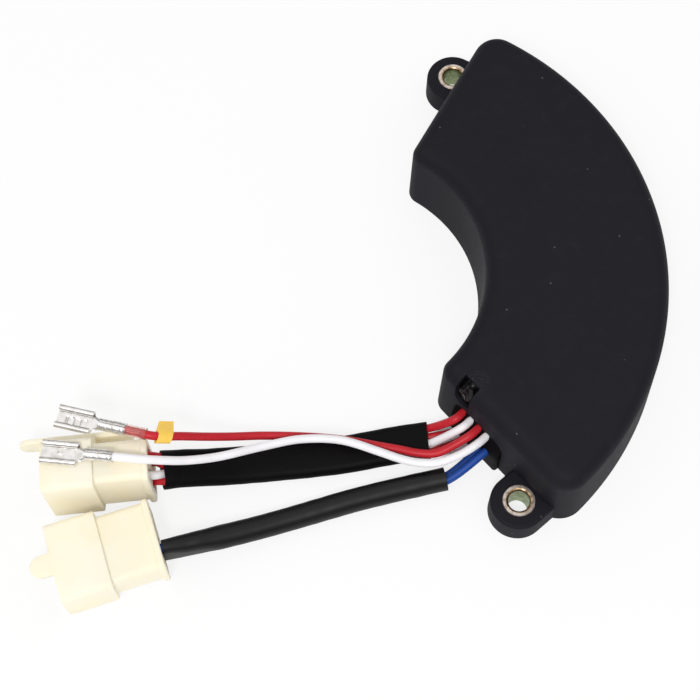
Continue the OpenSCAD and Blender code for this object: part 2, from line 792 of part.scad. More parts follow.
// Section of the sealing drop, as depth and height: it follows the wall and its edge below the surface
module seal_section() {
    levels = shell_levels(0, case_h - seal_sunk, seal_sunk, edge_r);
    last = levels[len(levels) - 1];
    polygon(concat([for (l = levels) [l[1], l[0]]], [[last[1] + over, last[0]], [last[1] + over, 0]]));
}

module trimmer_seal() {
    color("#0c0c0d") difference() {
        at_end(trim_s, 0, 0) intersection() {
            through_end(-over, trim_slot_d) trim_slot_profile();
            along_end(trim_slot_w + 2 * over) seal_section();
        }
        trimmer_screw();
    }
}

// Plugs

// Nylon plug along x from its mating face, its middle at z = 0, with its latch or tongue
module plug() {
    difference() {
        union() {
            rounded_bar(shroud_l, plug_w, plug_t, plug_round);
            rounded_bar(plug_l, rear_w, rear_t, plug_round);
            translate([plug_l - rim_l, 0, 0])
                rounded_bar(rim_l, rear_w + 2 * rim_extra, rear_t + 2 * rim_extra, plug_round);
            children();
        }
        translate([-over, 0, 0])
            rounded_bar(mouth_d + over, plug_w - 2 * shroud_wall, plug_t - 2 * shroud_wall, plug_round / 2);
        for (y = [-1, 1], z = [-1, 1])
            translate([mouth_d - over, y * contact_pitch / 2, z * contact_rise / 2]) contact_cell();
    }
}

// Tunnel that a contact is pushed into from the rear
module contact_cell() {
    w = contact_box.y + 2 * contact_gap;
    h = contact_box.z + 2 * contact_gap;
    translate([0, -w / 2, -h / 2]) cube([plug_l, w, h]);
}

// Latch arm: a tongue past the mouth, a bridge on the shroud and a free tail over the rear body
module latch() {
    z = plug_t / 2 - over;
    bridge = shroud_l / 2;
    translate([-latch_out, 0, plug_t / 2 + latch_gap]) linear_extrude(latch_t) {
        translate([latch_w / 2, 0]) circle(latch_w / 2);
        translate([latch_w / 2, -latch_w / 2]) square([plug_l - rim_l + latch_out - latch_w, latch_w]);
    }
    translate([shroud_l - bridge, -latch_w / 2, z]) cube([bridge, latch_w, over + latch_gap]);
}

// Tongue of a plug: the upper wall of the mouth, carried on past it
module tongue() {
    translate([-tongue_out, 0, plug_t / 2 - shroud_wall]) linear_extrude(shroud_wall) {
        translate([latch_w / 2, 0]) circle(latch_w / 2);
        translate([latch_w / 2, -latch_w / 2]) square([tongue_out - latch_w / 2 + over, latch_w]);
    }
}

// Brass contact at a place in a plug: tab in the mouth, body in its cell and barrel on the lead
module contact(side, row) {
    barrel_end = plug_l - wire_depth - mouth_d;
    translate([mouth_d, side * contact_pitch / 2, row * contact_rise / 2]) {
        translate([0, -contact_box.y / 2, -contact_box.z / 2]) cube(contact_box);
        translate([-tab_out, -tab_w / 2, -tab_t / 2]) cube([tab_out + over, tab_w, tab_t]);
        translate([contact_box.x - over, 0, 0]) rotate([0, 90, 0])
            cylinder(r = contact_barrel_r, h = barrel_end - contact_box.x + over);
    }
}

module place_two_wire() {
    translate(two_wire_at) rotate([0, 0, two_wire_turn]) translate([0, 0, plug_t / 2]) children();
}

module place_four_wire() {
    translate(four_wire_at) rotate([-90, 0, 0]) children();
}

module four_wire_plug() {
    color("cornsilk") place_four_wire() plug() latch();
}

module two_wire_plug() {
    color("cornsilk") place_two_wire() plug() tongue();
}

module four_wire_contacts() {
    color("goldenrod") place_four_wire()
        for (side = [-1, 1], row = [-1, 1]) contact(side, row);
}

module two_wire_contacts() {
    color("goldenrod") place_two_wire()
        for (row = [-1, 1]) contact(-1, row);
}

// Receptacles

// Spade receptacle along x: barrel round the tip of a lead, neck, then a floor with rolled sides
module receptacle() {
    floor_z = -lead_r - lead_clear - spade_t;
    bore = lead_r + lead_clear;
    start = barrel_l - barrel_grip + neck_l;
    middle = spade_w / 2 - spade_roll;
    translate([-barrel_grip, 0, 0]) rotate([0, 90, 0]) difference() {
        cylinder(r = bore + spade_t, h = barrel_l);
        translate([0, 0, -over]) cylinder(r = bore, h = barrel_l + 2 * over);
    }
    translate([start - neck_l - over, 0, floor_z]) linear_extrude(spade_t)
        polygon([[0, -lead_r / 2], [neck_l + over, -middle], [neck_l + 2 * over, -middle],
            [neck_l + 2 * over, middle], [neck_l + over, middle], [0, lead_r / 2]]);
    translate([start, 0, floor_z]) difference() {
        union() {
            translate([0, -middle, 0]) cube([spade_l, 2 * middle, spade_t]);
            for (y = [-1, 1])
                translate([0, y * middle, spade_roll]) rotate([0, 90, 0])
                    cylinder(r = spade_roll, h = spade_l);
        }
        for (y = [-1, 1])
            translate([-over, y * middle, spade_roll]) rotate([0, 90, 0])
                cylinder(r = spade_roll - spade_t, h = spade_l + 2 * over);
        translate([-over, -middle, spade_t]) cube([spade_l + 2 * over, 2 * middle, 2 * spade_roll]);
    }
}

// Frame at the tip of a lead, x along its last stretch
module at_tip(route) {
    tip = route[len(route) - 1];
    translate(tip) rotate([0, 0, angle_of(tip - route[len(route) - 2])]) children();
}

module red_receptacle() {
    color("gainsboro") at_tip(red_spade_route) receptacle();
}

module white_receptacle() {
    color("gainsboro") at_tip(white_spade_route) receptacle();
}

// Ring round a lead, along z
module collar(r, l) {
    difference() {
        cylinder(r = r, h = l);
        translate([0, 0, -over]) cylinder(r = lead_r + lead_clear, h = l + 2 * over);
    }
}

module clear_tube() {
    color("mistyrose") at_tip(red_spade_route) translate([-barrel_grip - clear_l, 0, 0]) rotate([0, 90, 0])
        collar(lead_r + lead_clear + clear_wall, clear_l);
}

module marker_band() {
    n = len(red_spade_route);
    from = red_spade_route[n - 2];
    t = unit(red_spade_route[n - 3] - from);
    color("gold") translate(from + t * marker_gap) rotate([0, acos(t.z), angle_of(t)])
        collar(marker_r, marker_l);
}

case();
near_bush();
far_bush();
potting_resin();
circuit_board();
heat_sink();
power_transistor();
bridge_rectifier();
main_capacitor();
timing_capacitor();
film_capacitor();
control_chip();
dropping_resistor();
small_resistors();
diodes();
trimmer();
trimmer_screw();
trimmer_seal();
lead_grommet();
red_plug_lead();
white_plug_lead();
red_return_lead();
red_sense_lead();
red_spade_lead();
white_spade_lead();
blue_lead_left();
blue_lead_right();
flat_sleeve();
round_sleeve();
four_wire_plug();
two_wire_plug();
four_wire_contacts();
two_wire_contacts();
red_receptacle();
white_receptacle();
clear_tube();
marker_band();
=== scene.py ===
import math

import bmesh
import bpy
from mathutils import Matrix, Vector, noise


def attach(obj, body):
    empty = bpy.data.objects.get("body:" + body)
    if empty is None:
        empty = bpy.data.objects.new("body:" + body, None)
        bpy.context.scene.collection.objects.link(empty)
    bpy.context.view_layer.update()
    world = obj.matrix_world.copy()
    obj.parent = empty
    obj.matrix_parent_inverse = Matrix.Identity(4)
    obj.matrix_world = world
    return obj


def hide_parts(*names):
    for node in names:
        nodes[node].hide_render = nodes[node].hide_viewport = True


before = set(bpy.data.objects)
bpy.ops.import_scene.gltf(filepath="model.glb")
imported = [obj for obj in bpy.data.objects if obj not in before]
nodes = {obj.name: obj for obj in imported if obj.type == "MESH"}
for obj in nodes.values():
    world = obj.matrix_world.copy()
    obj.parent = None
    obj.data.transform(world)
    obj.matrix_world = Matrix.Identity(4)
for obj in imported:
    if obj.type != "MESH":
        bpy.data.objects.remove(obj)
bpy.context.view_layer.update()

# Sizes in millimetres, as in the part's source
MM = 0.001
HOLE_GAP, HOLE_BACK = 123.0, 35.2
OUTER_R, INNER_R, ARC_SHIFT = 80.9, 36.5, 2.7
END_LEAN, WALL_IN = 34.9, 4.05
CASE_H, DRAFT, EDGE_R = 22.6, 0.8, 4.2
OUTER_CORNER, INNER_CORNER, LEAST_CORNER = 7.0, 4.0, 0.4
WALL, ROOF = 2.2, 2.4
EAR_R, EAR_T, EAR_BITE = 7.2, 7.5, 0.6
BUSH_R, HOLE_R, BUSH_PROUD, BUSH_CHAMFER = 4.05, 2.6, 0.3, 0.65
EXIT_S, EXIT_W, EXIT_H, EXIT_ROUND = 16.0, 17.0, 12.4, 3.0
EXIT_PROUD, EXIT_NOSE, EXIT_DEEP = 1.3, 6.2, 5.0
FLANGE_EXTRA, FLANGE_T, RESIN_RECESS = 1.0, 1.5, 0.8
TRIM_S, TRIM_W, TRIM_D, TRIM_WEB, SEAL_SUNK = 9.4, 5.0, 4.0, 0.4, 0.9
TRIM_Z = EXIT_H + FLANGE_EXTRA + TRIM_WEB
LEAD_R, LEAD_CLEAR, LEAD_INSIDE, LEAD_STRAIGHT = 1.05, 0.05, 9.4, 0.8
BORE_R, SLEEVE_WALL = LEAD_R + LEAD_CLEAR, 0.4
FLAT_PITCH, FLAT_LIFT, FLAT_MORE, ROUND_MORE = 2.0075, 0.45, 1.6, 0.9
FLAT_HALF, FLAT_FLARE = (4.86, 2.1), (4.95, 2.9)
ROUND_HALF, ROUND_END_HALF, PAIR_SIDE = (2.95, 2.95), (1.85, 4.15), 0.778
PLUG_L, PLUG_W, PLUG_T, PLUG_ROUND = 25.5, 20.0, 13.0, 1.6
SHROUD_L, MOUTH_D, SHROUD_WALL, SHROUD_STEP = 12.5, 10.5, 1.5, 1.3
RIM_L, RIM_EXTRA = 1.5, 0.6
CONTACT_PITCH, CONTACT_RISE = 8.2, 5.0
CELL_W, CELL_H = 6.8, 3.0
WIRE_INTO, WIRE_TURN_BEHIND = (3, 5), 0.6
LATCH_W, LATCH_T, LATCH_OUT, LATCH_GAP, TONGUE_OUT = 5.6, 1.5, 6.6, 2.0, 5.2
SPADE_W, SPADE_L, SPADE_T, SPADE_ROLL = 6.0, 8.8, 0.45, 1.15
BARREL_GRIP, BARREL_L, NECK_L, CRIMP_STRAIGHT = 5.0, 6.0, 2.6, 7.5
CLEAR_L, CLEAR_WALL, MARKER_L, MARKER_GAP = 5.0, 0.35, 3.8, 1.0
FLAG_TIP, FLAG_FOLD, FLAG_SHEET, FLAG_SLANT = 3.8, 1.9, 0.22, 0.34

# Routes of the leads outside the case, in millimetres
FLAT_ROUTE = [(-19.6, -42.4, 4.2), (-25.5, -42.3, 3.4), (-32, -42.6, 2.8), (-40.5, -43.1, 2.2),
              (-49.5, -43.3, 2.1), (-58, -43.3, 2.3), (-67, -43.5, 3.4), (-74.5, -44, 5.6),
              (-80.3, -44.5, 8.1), (-84, -44.8, 9.1)]
ROUND_ROUTE = [(-16.6, -52.6, 3.4), (-24, -53.4, 3.1), (-32, -54.4, 3), (-40, -55.6, 3),
               (-48, -57.1, 3), (-56, -58.7, 3.2), (-64, -60.3, 3.8), (-72, -61.8, 4.8),
               (-80, -63.2, 5.9), (-86, -64.2, 6.5)]
RED_SPADE_ROUTE = [(-14, -46, 8.6), (-18.4, -47.2, 7.6), (-22.8, -46.5, 7.2), (-27, -45, 6.8),
                   (-32, -43.3, 6.3), (-41.6, -40.2, 5.6), (-51.2, -38.3, 5.5), (-60.6, -37.5, 6.6),
                   (-67.4, -37.9, 9), (-73.6, -38.8, 13), (-79.4, -39.8, 17.6), (-86, -40.5, 21.6),
                   (-97, -36.6, 21.6)]
WHITE_SPADE_ROUTE = [(-12.5, -48.5, 8.8), (-18, -49.7, 8), (-23, -49.2, 7.8), (-27.6, -47.7, 8),
                     (-32.2, -45.6, 8.4), (-41.4, -41.4, 8.1), (-51.2, -40.1, 8.2), (-60.9, -41.7, 10),
                     (-71.5, -44.5, 13.6), (-79.1, -46, 17.4), (-84.4, -46.4, 20.2), (-90.2, -45.9, 21.6),
                     (-100.6, -43.7, 21.6)]
# Holes of the leads: distance along the grommet from its middle, and height
HOLES = {"red_plug_lead": (-5.6, 10), "white_plug_lead": (-2.8, 10), "red_spade_lead": (0, 10),
         "white_spade_lead": (2.8, 10), "red_return_lead": (-4.2, 5), "red_sense_lead": (-1.4, 5),
         "blue_lead_left": (2.8, 4.4), "blue_lead_right": (4.76, 6.6)}
FOUR_WIRE_AT = Vector((-113.5, -44.5, 10))
TWO_WIRE_AT, TWO_WIRE_TURN = Vector((-112.6, -66.6, 6.5)), 12.0

# Camera

CAMERA_AT = Vector((-47.06, -176.44, 364.27))
CAMERA_AIM = Vector((-36.38, -13.80, 0))
CAMERA_ROLL = -2.374
CAMERA_LENS = 79.28


def add_object(name, data):
    made = bpy.data.objects.new(name, data)
    bpy.context.collection.objects.link(made)
    return made


def add_camera():
    """Stands the camera where the photograph was taken from."""
    data = bpy.data.cameras.new("photo_camera")
    data.lens = CAMERA_LENS
    data.sensor_fit = "HORIZONTAL"
    data.sensor_width = 36
    data.clip_start = 0.01
    data.clip_end = 10
    camera = add_object("photo_camera", data)
    back = (CAMERA_AT - CAMERA_AIM).normalized()
    right = Vector((0, 0, 1)).cross(back).normalized()
    up = back.cross(right)
    roll = math.radians(CAMERA_ROLL)
    turned_right = right * math.cos(roll) + up * math.sin(roll)
    turned_up = up * math.cos(roll) - right * math.sin(roll)
    turn = Matrix((turned_right, turned_up, back)).transposed().to_4x4()
    camera.matrix_world = Matrix.Translation(CAMERA_AT * MM) @ turn
    bpy.context.scene.camera = camera


add_camera()


# Places on the case

def flat(x, y):
    return Vector((x, y))


ARC_C = flat(-HOLE_BACK, 0)
INNER_C = ARC_C - flat(ARC_SHIFT, 0)


def polar(centre, radius, degrees):
    a = math.radians(degrees)
    return centre + radius * flat(math.cos(a), math.sin(a))


def spread(start, sweep, steps):
    """Angles in even steps over a sweep, both ends among them."""
    return [start + sweep * i / steps for i in range(steps + 1)]


def around(sides, start=0.0):
    """Angles in even steps once round."""
    return spread(start, 2 * math.pi, sides)[:-1]


def angle_of(v):
    return math.degrees(math.atan2(v.y, v.x))


# Near end wall: its inward side, its direction from the inner corner and the point next to the hole
WALL_N = polar(flat(0, 0), 1, END_LEAN)
END_U = flat(WALL_N.y, -WALL_N.x)
WALL_FOOT = flat(0, -HOLE_GAP / 2) + WALL_N * WALL_IN


def fillet_centre(centre, rho, depth):
    """Point at a distance from a centre, and at a depth behind the near end wall."""
    a = WALL_FOOT + WALL_N * depth - centre
    k = a.dot(END_U)
    return centre + a + END_U * (-k + math.sqrt(k * k - a.dot(a) + rho * rho))


END_IN = fillet_centre(INNER_C, INNER_R, 0)


def at_end(s, depth, z):
    """Point by its way along the near end wall, its depth behind the wall and its height."""
    p = END_IN + END_U * s + WALL_N * depth
    return Vector((p.x, p.y, z))


# Shader sums and materials

def colour(red, green, blue):
    """Linear colour of an sRGB one written from 0 to 255."""
    levels = [c / 255 for c in (red, green, blue)]
    return tuple(c / 12.92 if c <= 0.04045 else ((c + 0.055) / 1.055) ** 2.4 for c in levels) + (1,)


class Field:
    """A shader socket that takes part in sums: each operator adds one Math node to its tree."""

    def __init__(self, socket):
        self.socket = socket
        self.tree = socket.id_data

    def math(self, operation, *terms):
        return add_node(self.tree, "Math", 0, dict(enumerate(terms)), operation=operation)

    def __add__(self, other):
        return self.math("ADD", self, other)

    def __sub__(self, other):
        return self.math("SUBTRACT", self, other)

    def __rsub__(self, other):
        return self.math("SUBTRACT", other, self)

    def __mul__(self, other):
        return self.math("MULTIPLY", self, other)

    __radd__ = __add__
    __rmul__ = __mul__

    def at_most_one(self):
        return self.math("MINIMUM", self, 1.0)

    def held(self):
        """The value, kept from 0 to 1."""
        top = self.at_most_one()
        return top.math("MAXIMUM", top, 0.0)


def put(tree, socket, value):
    """Links a Field into a socket, or sets the socket's own value."""
    if isinstance(value, Field):
        tree.links.new(value.socket, socket)
    else:
        socket.default_value = value


def add_node(tree, kind, out=0, inputs=None, **settings):
    """Adds a shader node, its settings first, and gives one of its outputs."""
    made = tree.nodes.new("ShaderNode" + kind)
    for key, value in settings.items():
        setattr(made, key, value)
    for key, value in (inputs or {}).items():
        put(tree, made.inputs[key], value)
    return Field(made.outputs[out])


def shaded(base, share):
    """Colour brought down to a share of itself."""
    return tuple(c * share for c in base[:3]) + (1,)


class Finish:
    """Procedural material: one Principled shader with its fixed values and varying inputs."""

    def __init__(self, name, base, gloss=0.5, fixed=None):
        self.material = bpy.data.materials.new(name)
        self.material.use_nodes = True
        self.tree = self.material.node_tree
        self.shader = self.tree.nodes["Principled BSDF"]
        constants = {"Base Color": base, "Specular IOR Level": gloss, **(fixed or {})}
        for key, value in constants.items():
            self.shader.inputs[key].default_value = value
        self.place = self.node("TexCoord", "Object")

    def node(self, kind, out=0, inputs=None, **settings):
        return add_node(self.tree, kind, out, inputs, **settings)

    def noise(self, per_metre, detail=2.0, rough=0.5, stretch=(1, 1, 1)):
        """Noise with so many features to the metre."""
        at = self.node("VectorMath", 0, {0: self.place, 1: stretch}, operation="MULTIPLY")
        return self.node("TexNoise", 0, {"Vector": at, "Scale": per_metre, "Detail": detail,
                                         "Roughness": rough})

    def cells(self, per_metre, out="Distance"):
        """Distance to the nearest of scattered points, or another output of the cells."""
        return self.node("TexVoronoi", out, {"Vector": self.place, "Scale": per_metre})

    def step(self, value, low, high):
        """Smooth rise from 0 to 1 between two values."""
        return self.node("MapRange", 0, {"Value": value, "From Min": low, "From Max": high},
                         interpolation_type="SMOOTHSTEP")

    def mix(self, amount, first, second):
        """Colour between two others."""
        return self.node("Mix", 2, {0: amount, 6: first, 7: second}, data_type="RGBA")

    def patchy(self, field, first, second):
        """Colour that wanders between two others with a slow noise."""
        return self.mix(self.step(field, 0.35, 0.7), first, second)

    def done(self, shade, rough, height, rise):
        """Feeds colour, roughness and a bump, whose height from 0 to 1 rises so many millimetres."""
        bump = self.node("Bump", 0, {"Height": height, "Distance": rise * MM, "Strength": 1.0})
        for key, value in (("Base Color", shade), ("Roughness", rough), ("Normal", bump)):
            put(self.tree, self.shader.inputs[key], value)
        return self.material


def moulded(name, base, grain, rise, low, high):
    """Plain moulded surface: fine grain, uneven gloss from low to high and a slow change of shade."""
    made = Finish(name, base)
    slow = made.noise(90, 3)
    fine = made.noise(grain, 2)
    rough = fine * 0.3 * (high - low) + slow * 0.7 * (high - low) + low
    return made.done(made.patchy(slow, shaded(base, 0.75), base), rough, fine, rise)


def case_plastic():
    """Satin black moulding with scattered specks of dust, scuffed beside the trimmer slot."""
    base = colour(26, 25, 32)
    made = Finish("case_plastic", base, 0.14)
    fine = made.noise(2600, 3, 0.6)
    slow = made.noise(70, 3)
    per_metre, dusty_share = 420, 0.09
    pick = made.node("SeparateColor", 0, {0: made.cells(per_metre, "Color")})
    chosen = made.step(pick, 1 - dusty_share, 1.001 - dusty_share)
    speck = made.step(made.cells(per_metre), 0.12, 0.05) * chosen
    film = made.step(made.noise(260, 4, 0.6), 0.5, 0.85) * 0.012
    shade = made.mix(speck * 0.3 + film, base, colour(150, 148, 145))
    slot_end = at_end(TRIM_S + 0.8, TRIM_D + 1.4, CASE_H) * MM
    apart = made.node("VectorMath", "Value", {0: made.place, 1: slot_end}, operation="DISTANCE")
    scuff = made.step(made.noise(1500, 4, 0.7, (1, 2.5, 1)), 0.5, 0.66) * made.step(apart, 0.0032, 0.001)
    shade = made.mix(scuff * 0.3, shade, colour(120, 118, 120))
    return made.done(shade, slow * 0.12 + fine * 0.1 + 0.52, fine + scuff * 3, 0.03)


def seal_resin():
    """Glossy black resin, a little uneven."""
    made = Finish("seal_resin", colour(9, 9, 10), 0.25)
    slow = made.noise(300, 2)
    shade = made.mix(made.step(slow, 0.4, 0.7), colour(7, 7, 8), colour(13, 12, 13))
    return made.done(shade, slow * 0.08 + 0.12, slow, 0.05)


def potting_resin():
    """Black resin poured level, with slow ripples and a few burst bubbles."""
    base = colour(24, 24, 27)
    made = Finish("resin", base)
    ripple = made.noise(45, 2)
    pits = made.step(made.cells(300), 0.16, 0.05)
    shade = made.patchy(ripple, colour(17, 17, 19), base)
    return made.done(shade, ripple * 0.2 + 0.14, ripple - pits * 0.4, 0.35)


def rubber():
    """Dull brownish black rubber."""
    base = colour(15, 12, 14)
    made = Finish("grommet_rubber", base, 0.06)
    fine = made.noise(1500, 4, 0.65)
    slow = made.noise(200, 3)
    shade = made.patchy(slow, colour(11, 9, 10), base)
    return made.done(shade, slow * 0.2 + 0.45, fine + slow * 2, 0.08)


def sleeve(name, base, gloss, rough, grain, rise):
    """Black tubing, a little uneven along its length."""
    made = Finish(name, base, gloss)
    along = made.noise(150, 3, 0.5, (0.25, 2.0, 2.0))
    fine = made.noise(grain, 3)
    shade = made.mix(made.step(along, 0.35, 0.75), shaded(base, 0.8), base)
    return made.done(shade, along * 0.14 + fine * 0.08 + rough, along + fine * 0.3, rise)


def insulation(name, base, soil):
    """Soft lead insulation with faint handling marks."""
    made = Finish(name, base, 0.3)
    slow = made.noise(120, 3)
    marks = made.step(made.noise(900, 4, 0.7), 0.6, 0.8)
    shade = made.mix(marks * 0.12, made.patchy(slow, shaded(base, 0.92), base), soil)
    return made.done(shade, slow * 0.18 + 0.3, made.noise(700, 2), 0.02)


def nylon():
    """Natural nylon: cream, a little see-through and unevenly yellowed."""
    base = colour(253, 247, 229)
    made = Finish("nylon_cream", base, 0.35, {"Subsurface Weight": 0.1, "Subsurface Scale": 0.002,
                                              "Subsurface Radius": (1.0, 0.85, 0.55)})
    slow = made.noise(60, 3)
    fine = made.noise(1800, 2)
    shade = made.patchy(slow, colour(252, 243, 217), base)
    return made.done(shade, slow * 0.16 + fine * 0.06 + 0.34, fine, 0.012)


def metal(name, base, dull, rough, streak=(1, 1, 1)):
    """Plated metal with a dull film in patches."""
    made = Finish(name, base, fixed={"Metallic": 1.0})
    film = made.noise(500, 4, 0.6, streak)
    return made.done(made.mix(made.step(film, 0.4, 0.75), base, dull), film * 0.25 + rough, film, 0.02)


def bush_metal():
    """Turned bush by the zone on its mesh: silver pink faces, a golden lead-in and a greenish bore."""
    made = Finish("bush_metal", colour(186, 174, 166), fixed={"Metallic": 1.0})
    zone = made.node("Attribute", "Fac", attribute_name="zone")
    film = made.noise(800, 3)
    patch = made.step(film, 0.38, 0.68)
    face = made.mix(patch, colour(212, 200, 190), colour(172, 158, 147))
    gold = made.mix(patch, colour(206, 176, 138), colour(124, 96, 72))
    bore = made.mix(patch, colour(168, 180, 140), colour(136, 148, 116))
    inner = made.mix(made.step(zone, 1.3, 1.7), gold, bore)
    shade = made.mix(made.step(zone, 0.3, 0.7), face, inner)
    return made.done(shade, film * 0.2 + 0.22, film, 0.015)


def clear_vinyl():
    """Clear soft tube, a little cloudy."""
    base = colour(255, 232, 226)
    made = Finish("clear_vinyl", base, fixed={"Transmission Weight": 0.92, "IOR": 1.42})
    slow = made.noise(300, 3)
    return made.done(base, slow * 0.15 + 0.05, slow, 0.06)


def marker_tape():
    """Yellow tape, darker in patches."""
    base = colour(255, 212, 98)
    made = Finish("marker_yellow", base, 0.3)
    slow = made.noise(400, 4)
    shade = made.mix(made.step(slow, 0.45, 0.8), base, colour(250, 196, 74))
    return made.done(shade, slow * 0.2 + 0.45, slow, 0.04)


SOIL = colour(70, 52, 46)
FINISHES = {
    "case_plastic": case_plastic(), "bush_metal": bush_metal(), "resin": potting_resin(),
    "seal_resin": seal_resin(), "grommet_rubber": rubber(), "nylon_cream": nylon(),
    "clear_vinyl": clear_vinyl(), "marker_yellow": marker_tape(),
}
for name, make, *values in (
        ("sleeve_flat_black", sleeve, colour(13, 12, 14), 0.08, 0.45, 1400, 0.1),
        ("sleeve_round_black", sleeve, colour(15, 14, 16), 0.3, 0.3, 900, 0.05),
        ("red_insulation", insulation, colour(200, 34, 46), SOIL),
        ("white_insulation", insulation, colour(252, 250, 253), colour(208, 201, 194)),
        ("blue_insulation", insulation, colour(26, 74, 160), SOIL),
        ("tin", metal, colour(242, 240, 237), colour(212, 207, 202), 0.2),
        ("brass", metal, colour(222, 184, 110), colour(150, 116, 66), 0.2),
        ("plate_aluminium", metal, colour(200, 202, 204), colour(160, 162, 165), 0.3, (1, 8, 1)),
        ("board_green", moulded, colour(30, 92, 56), 1200, 0.02, 0.3, 0.45),
        ("package_black", moulded, colour(36, 36, 38), 1800, 0.02, 0.5, 0.7),
        ("can_blue", moulded, colour(40, 62, 118), 900, 0.01, 0.25, 0.4),
        ("film_yellow", moulded, colour(214, 168, 60), 900, 0.02, 0.35, 0.5),
        ("ceramic_white", moulded, colour(222, 218, 208), 1500, 0.03, 0.6, 0.8),
        ("resistor_tan", moulded, colour(196, 164, 122), 1200, 0.02, 0.35, 0.5),
        ("trimmer_blue", moulded, colour(38, 84, 160), 1400, 0.015, 0.3, 0.45)):
    FINISHES[name] = make(name, *values)


# Meshes

def skin(bm, rings, capped=True):
    """Closed tube of quads through rings of points, with a face at each end."""
    rows = [[bm.verts.new(p) for p in ring] for ring in rings]
    for low, high in zip(rows, rows[1:]):
        for i in range(len(low)):
            k = (i + 1) % len(low)
            bm.faces.new((low[i], low[k], high[k], high[i]))
    if capped:
        bm.faces.new(rows[0][::-1])
        bm.faces.new(rows[-1])
    return rows


def open_tube(outer, inner):
    """Wall between outer and inner rings, closed at both ends."""
    bm = bmesh.new()
    rows = skin(bm, outer + inner[::-1], capped=False)
    first, last = rows[0], rows[-1]
    for i in range(len(first)):
        k = (i + 1) % len(first)
        bm.faces.new((last[i], last[k], first[k], first[i]))
    return bm


def strip_caps(bm, rows):
    """Closes both ends of a tube whose rings run along one side and back along the other."""
    for row in (rows[0], rows[-1]):
        last = len(row) - 1
        for i in range(len(row) // 2 - 1):
            bm.faces.new((row[i], row[i + 1], row[last - i - 1], row[last - i]))


def to_object(name, bm, finish, smooth=40):
    """Object in metres from a mesh built in millimetres, smooth but for its sharp edges."""
    bmesh.ops.recalc_face_normals(bm, faces=bm.faces[:])
    bmesh.ops.scale(bm, vec=(MM, MM, MM), verts=bm.verts[:])
    mesh = bpy.data.meshes.new(name)
    bm.to_mesh(mesh)
    bm.free()
    mesh.materials.append(FINISHES[finish])
    soften(mesh, smooth)
    return add_object(name, mesh)


def soften(mesh, degrees):
    """Smooth shading, but for edges sharper than an angle."""
    mesh.shade_smooth()
    mesh.set_sharp_from_angle(angle=math.radians(degrees))


def solid(name, rings, finish="case_plastic", smooth=40):
    """Closed solid through rings of points."""
    bm = bmesh.new()
    skin(bm, rings)
    return to_object(name, bm, finish, smooth)


def evaluated_mesh(made):
    """Mesh of an object with its modifiers applied."""
    bpy.context.view_layer.update()
    return bpy.data.meshes.new_from_object(made.evaluated_get(bpy.context.evaluated_depsgraph_get()))


def cut(made, tools, operation="DIFFERENCE", smooth=40):
    """Applies one boolean after another and removes the tools."""
    for tool in tools:
        step = made.modifiers.new("cut", "BOOLEAN")
        step.operation = operation
        step.solver = "EXACT"
        step.object = tool
    mesh = evaluated_mesh(made)
    made.modifiers.clear()
    mesh.name = made.name
    made.data = mesh
    for tool in tools:
        bpy.data.objects.remove(tool)
    soften(mesh, smooth)
    return made


def stands_for(made, node):
    """The piece takes the place of a CAD node."""
    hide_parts(node)
    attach(made, "root")
    return made


def piece(node, ending, bm, finish, smooth):
    """Finished mesh in the place of a CAD node, named after it."""
    return stands_for(to_object(node + ending, bm, finish, smooth), node)


# Outline of the case

ARC_STEPS, CORNER_STEPS, EDGE_STEPS = 40, 12, 12
# How far a cut, a hole and the lead exit go on past the face that they open
PAST, HOLE_PAST, EXIT_PAST = 3, 1, 2


def arc(centre, radius, start, stop, steps):
    return [polar(centre, radius, degrees) for degrees in spread(start, stop - start, steps)]


def long_side(fillet, corner, start, stop, centre, radius):
    """One long side of the outline, from the near end wall to the far one."""
    a = angle_of(fillet - centre)
    half = arc(fillet, corner, start, stop, CORNER_STEPS)
    half += [polar(centre, radius, a * (1 - i / ARC_STEPS)) for i in range(1, ARC_STEPS)]
    return half + [centre + flat(radius, 0)] + [flat(p.x, -p.y) for p in reversed(half)]


def outline(inset):
    """Outline of the case: the outer side, then back along the inner one."""
    start = angle_of(-WALL_N)
    corner = max(OUTER_CORNER - inset, LEAST_CORNER)
    f = fillet_centre(ARC_C, OUTER_R - inset - corner, inset + corner)
    outer = long_side(f, corner, start, angle_of(f - ARC_C), ARC_C, OUTER_R - inset)
    corner = max(INNER_CORNER - inset, LEAST_CORNER)
    f = fillet_centre(INNER_C, INNER_R + inset + corner, inset + corner)
    inner = long_side(f, corner, start, angle_of(INNER_C - f) - 360, INNER_C, INNER_R + inset)
    return outer + inner[::-1]


def shell_levels(foot, top, inset, radius):
    """Heights and insets of the shell's rings: drafted wall, then the rounded edge up to the roof."""
    lean = DRAFT / CASE_H
    levels = [(foot, inset + lean * foot)]
    for t in spread(0.0, math.pi / 2, EDGE_STEPS):
        levels.append((top - radius * (1 - math.sin(t)),
                       inset + lean * (top - radius) + radius * (1 - math.cos(t))))
    return levels


def shell(name, levels):
    bm = bmesh.new()
    rings = [[Vector((p.x, p.y, z)) for p in outline(inset)] for z, inset in levels]
    strip_caps(bm, skin(bm, rings, capped=False))
    return to_object(name, bm, "case_plastic")


def prism(name, points, start, stop):
    """Solid between two depths behind the end wall, from points of way along it and height."""
    return solid(name, [[at_end(s, depth, z) for s, z in points] for depth in (start, stop)])


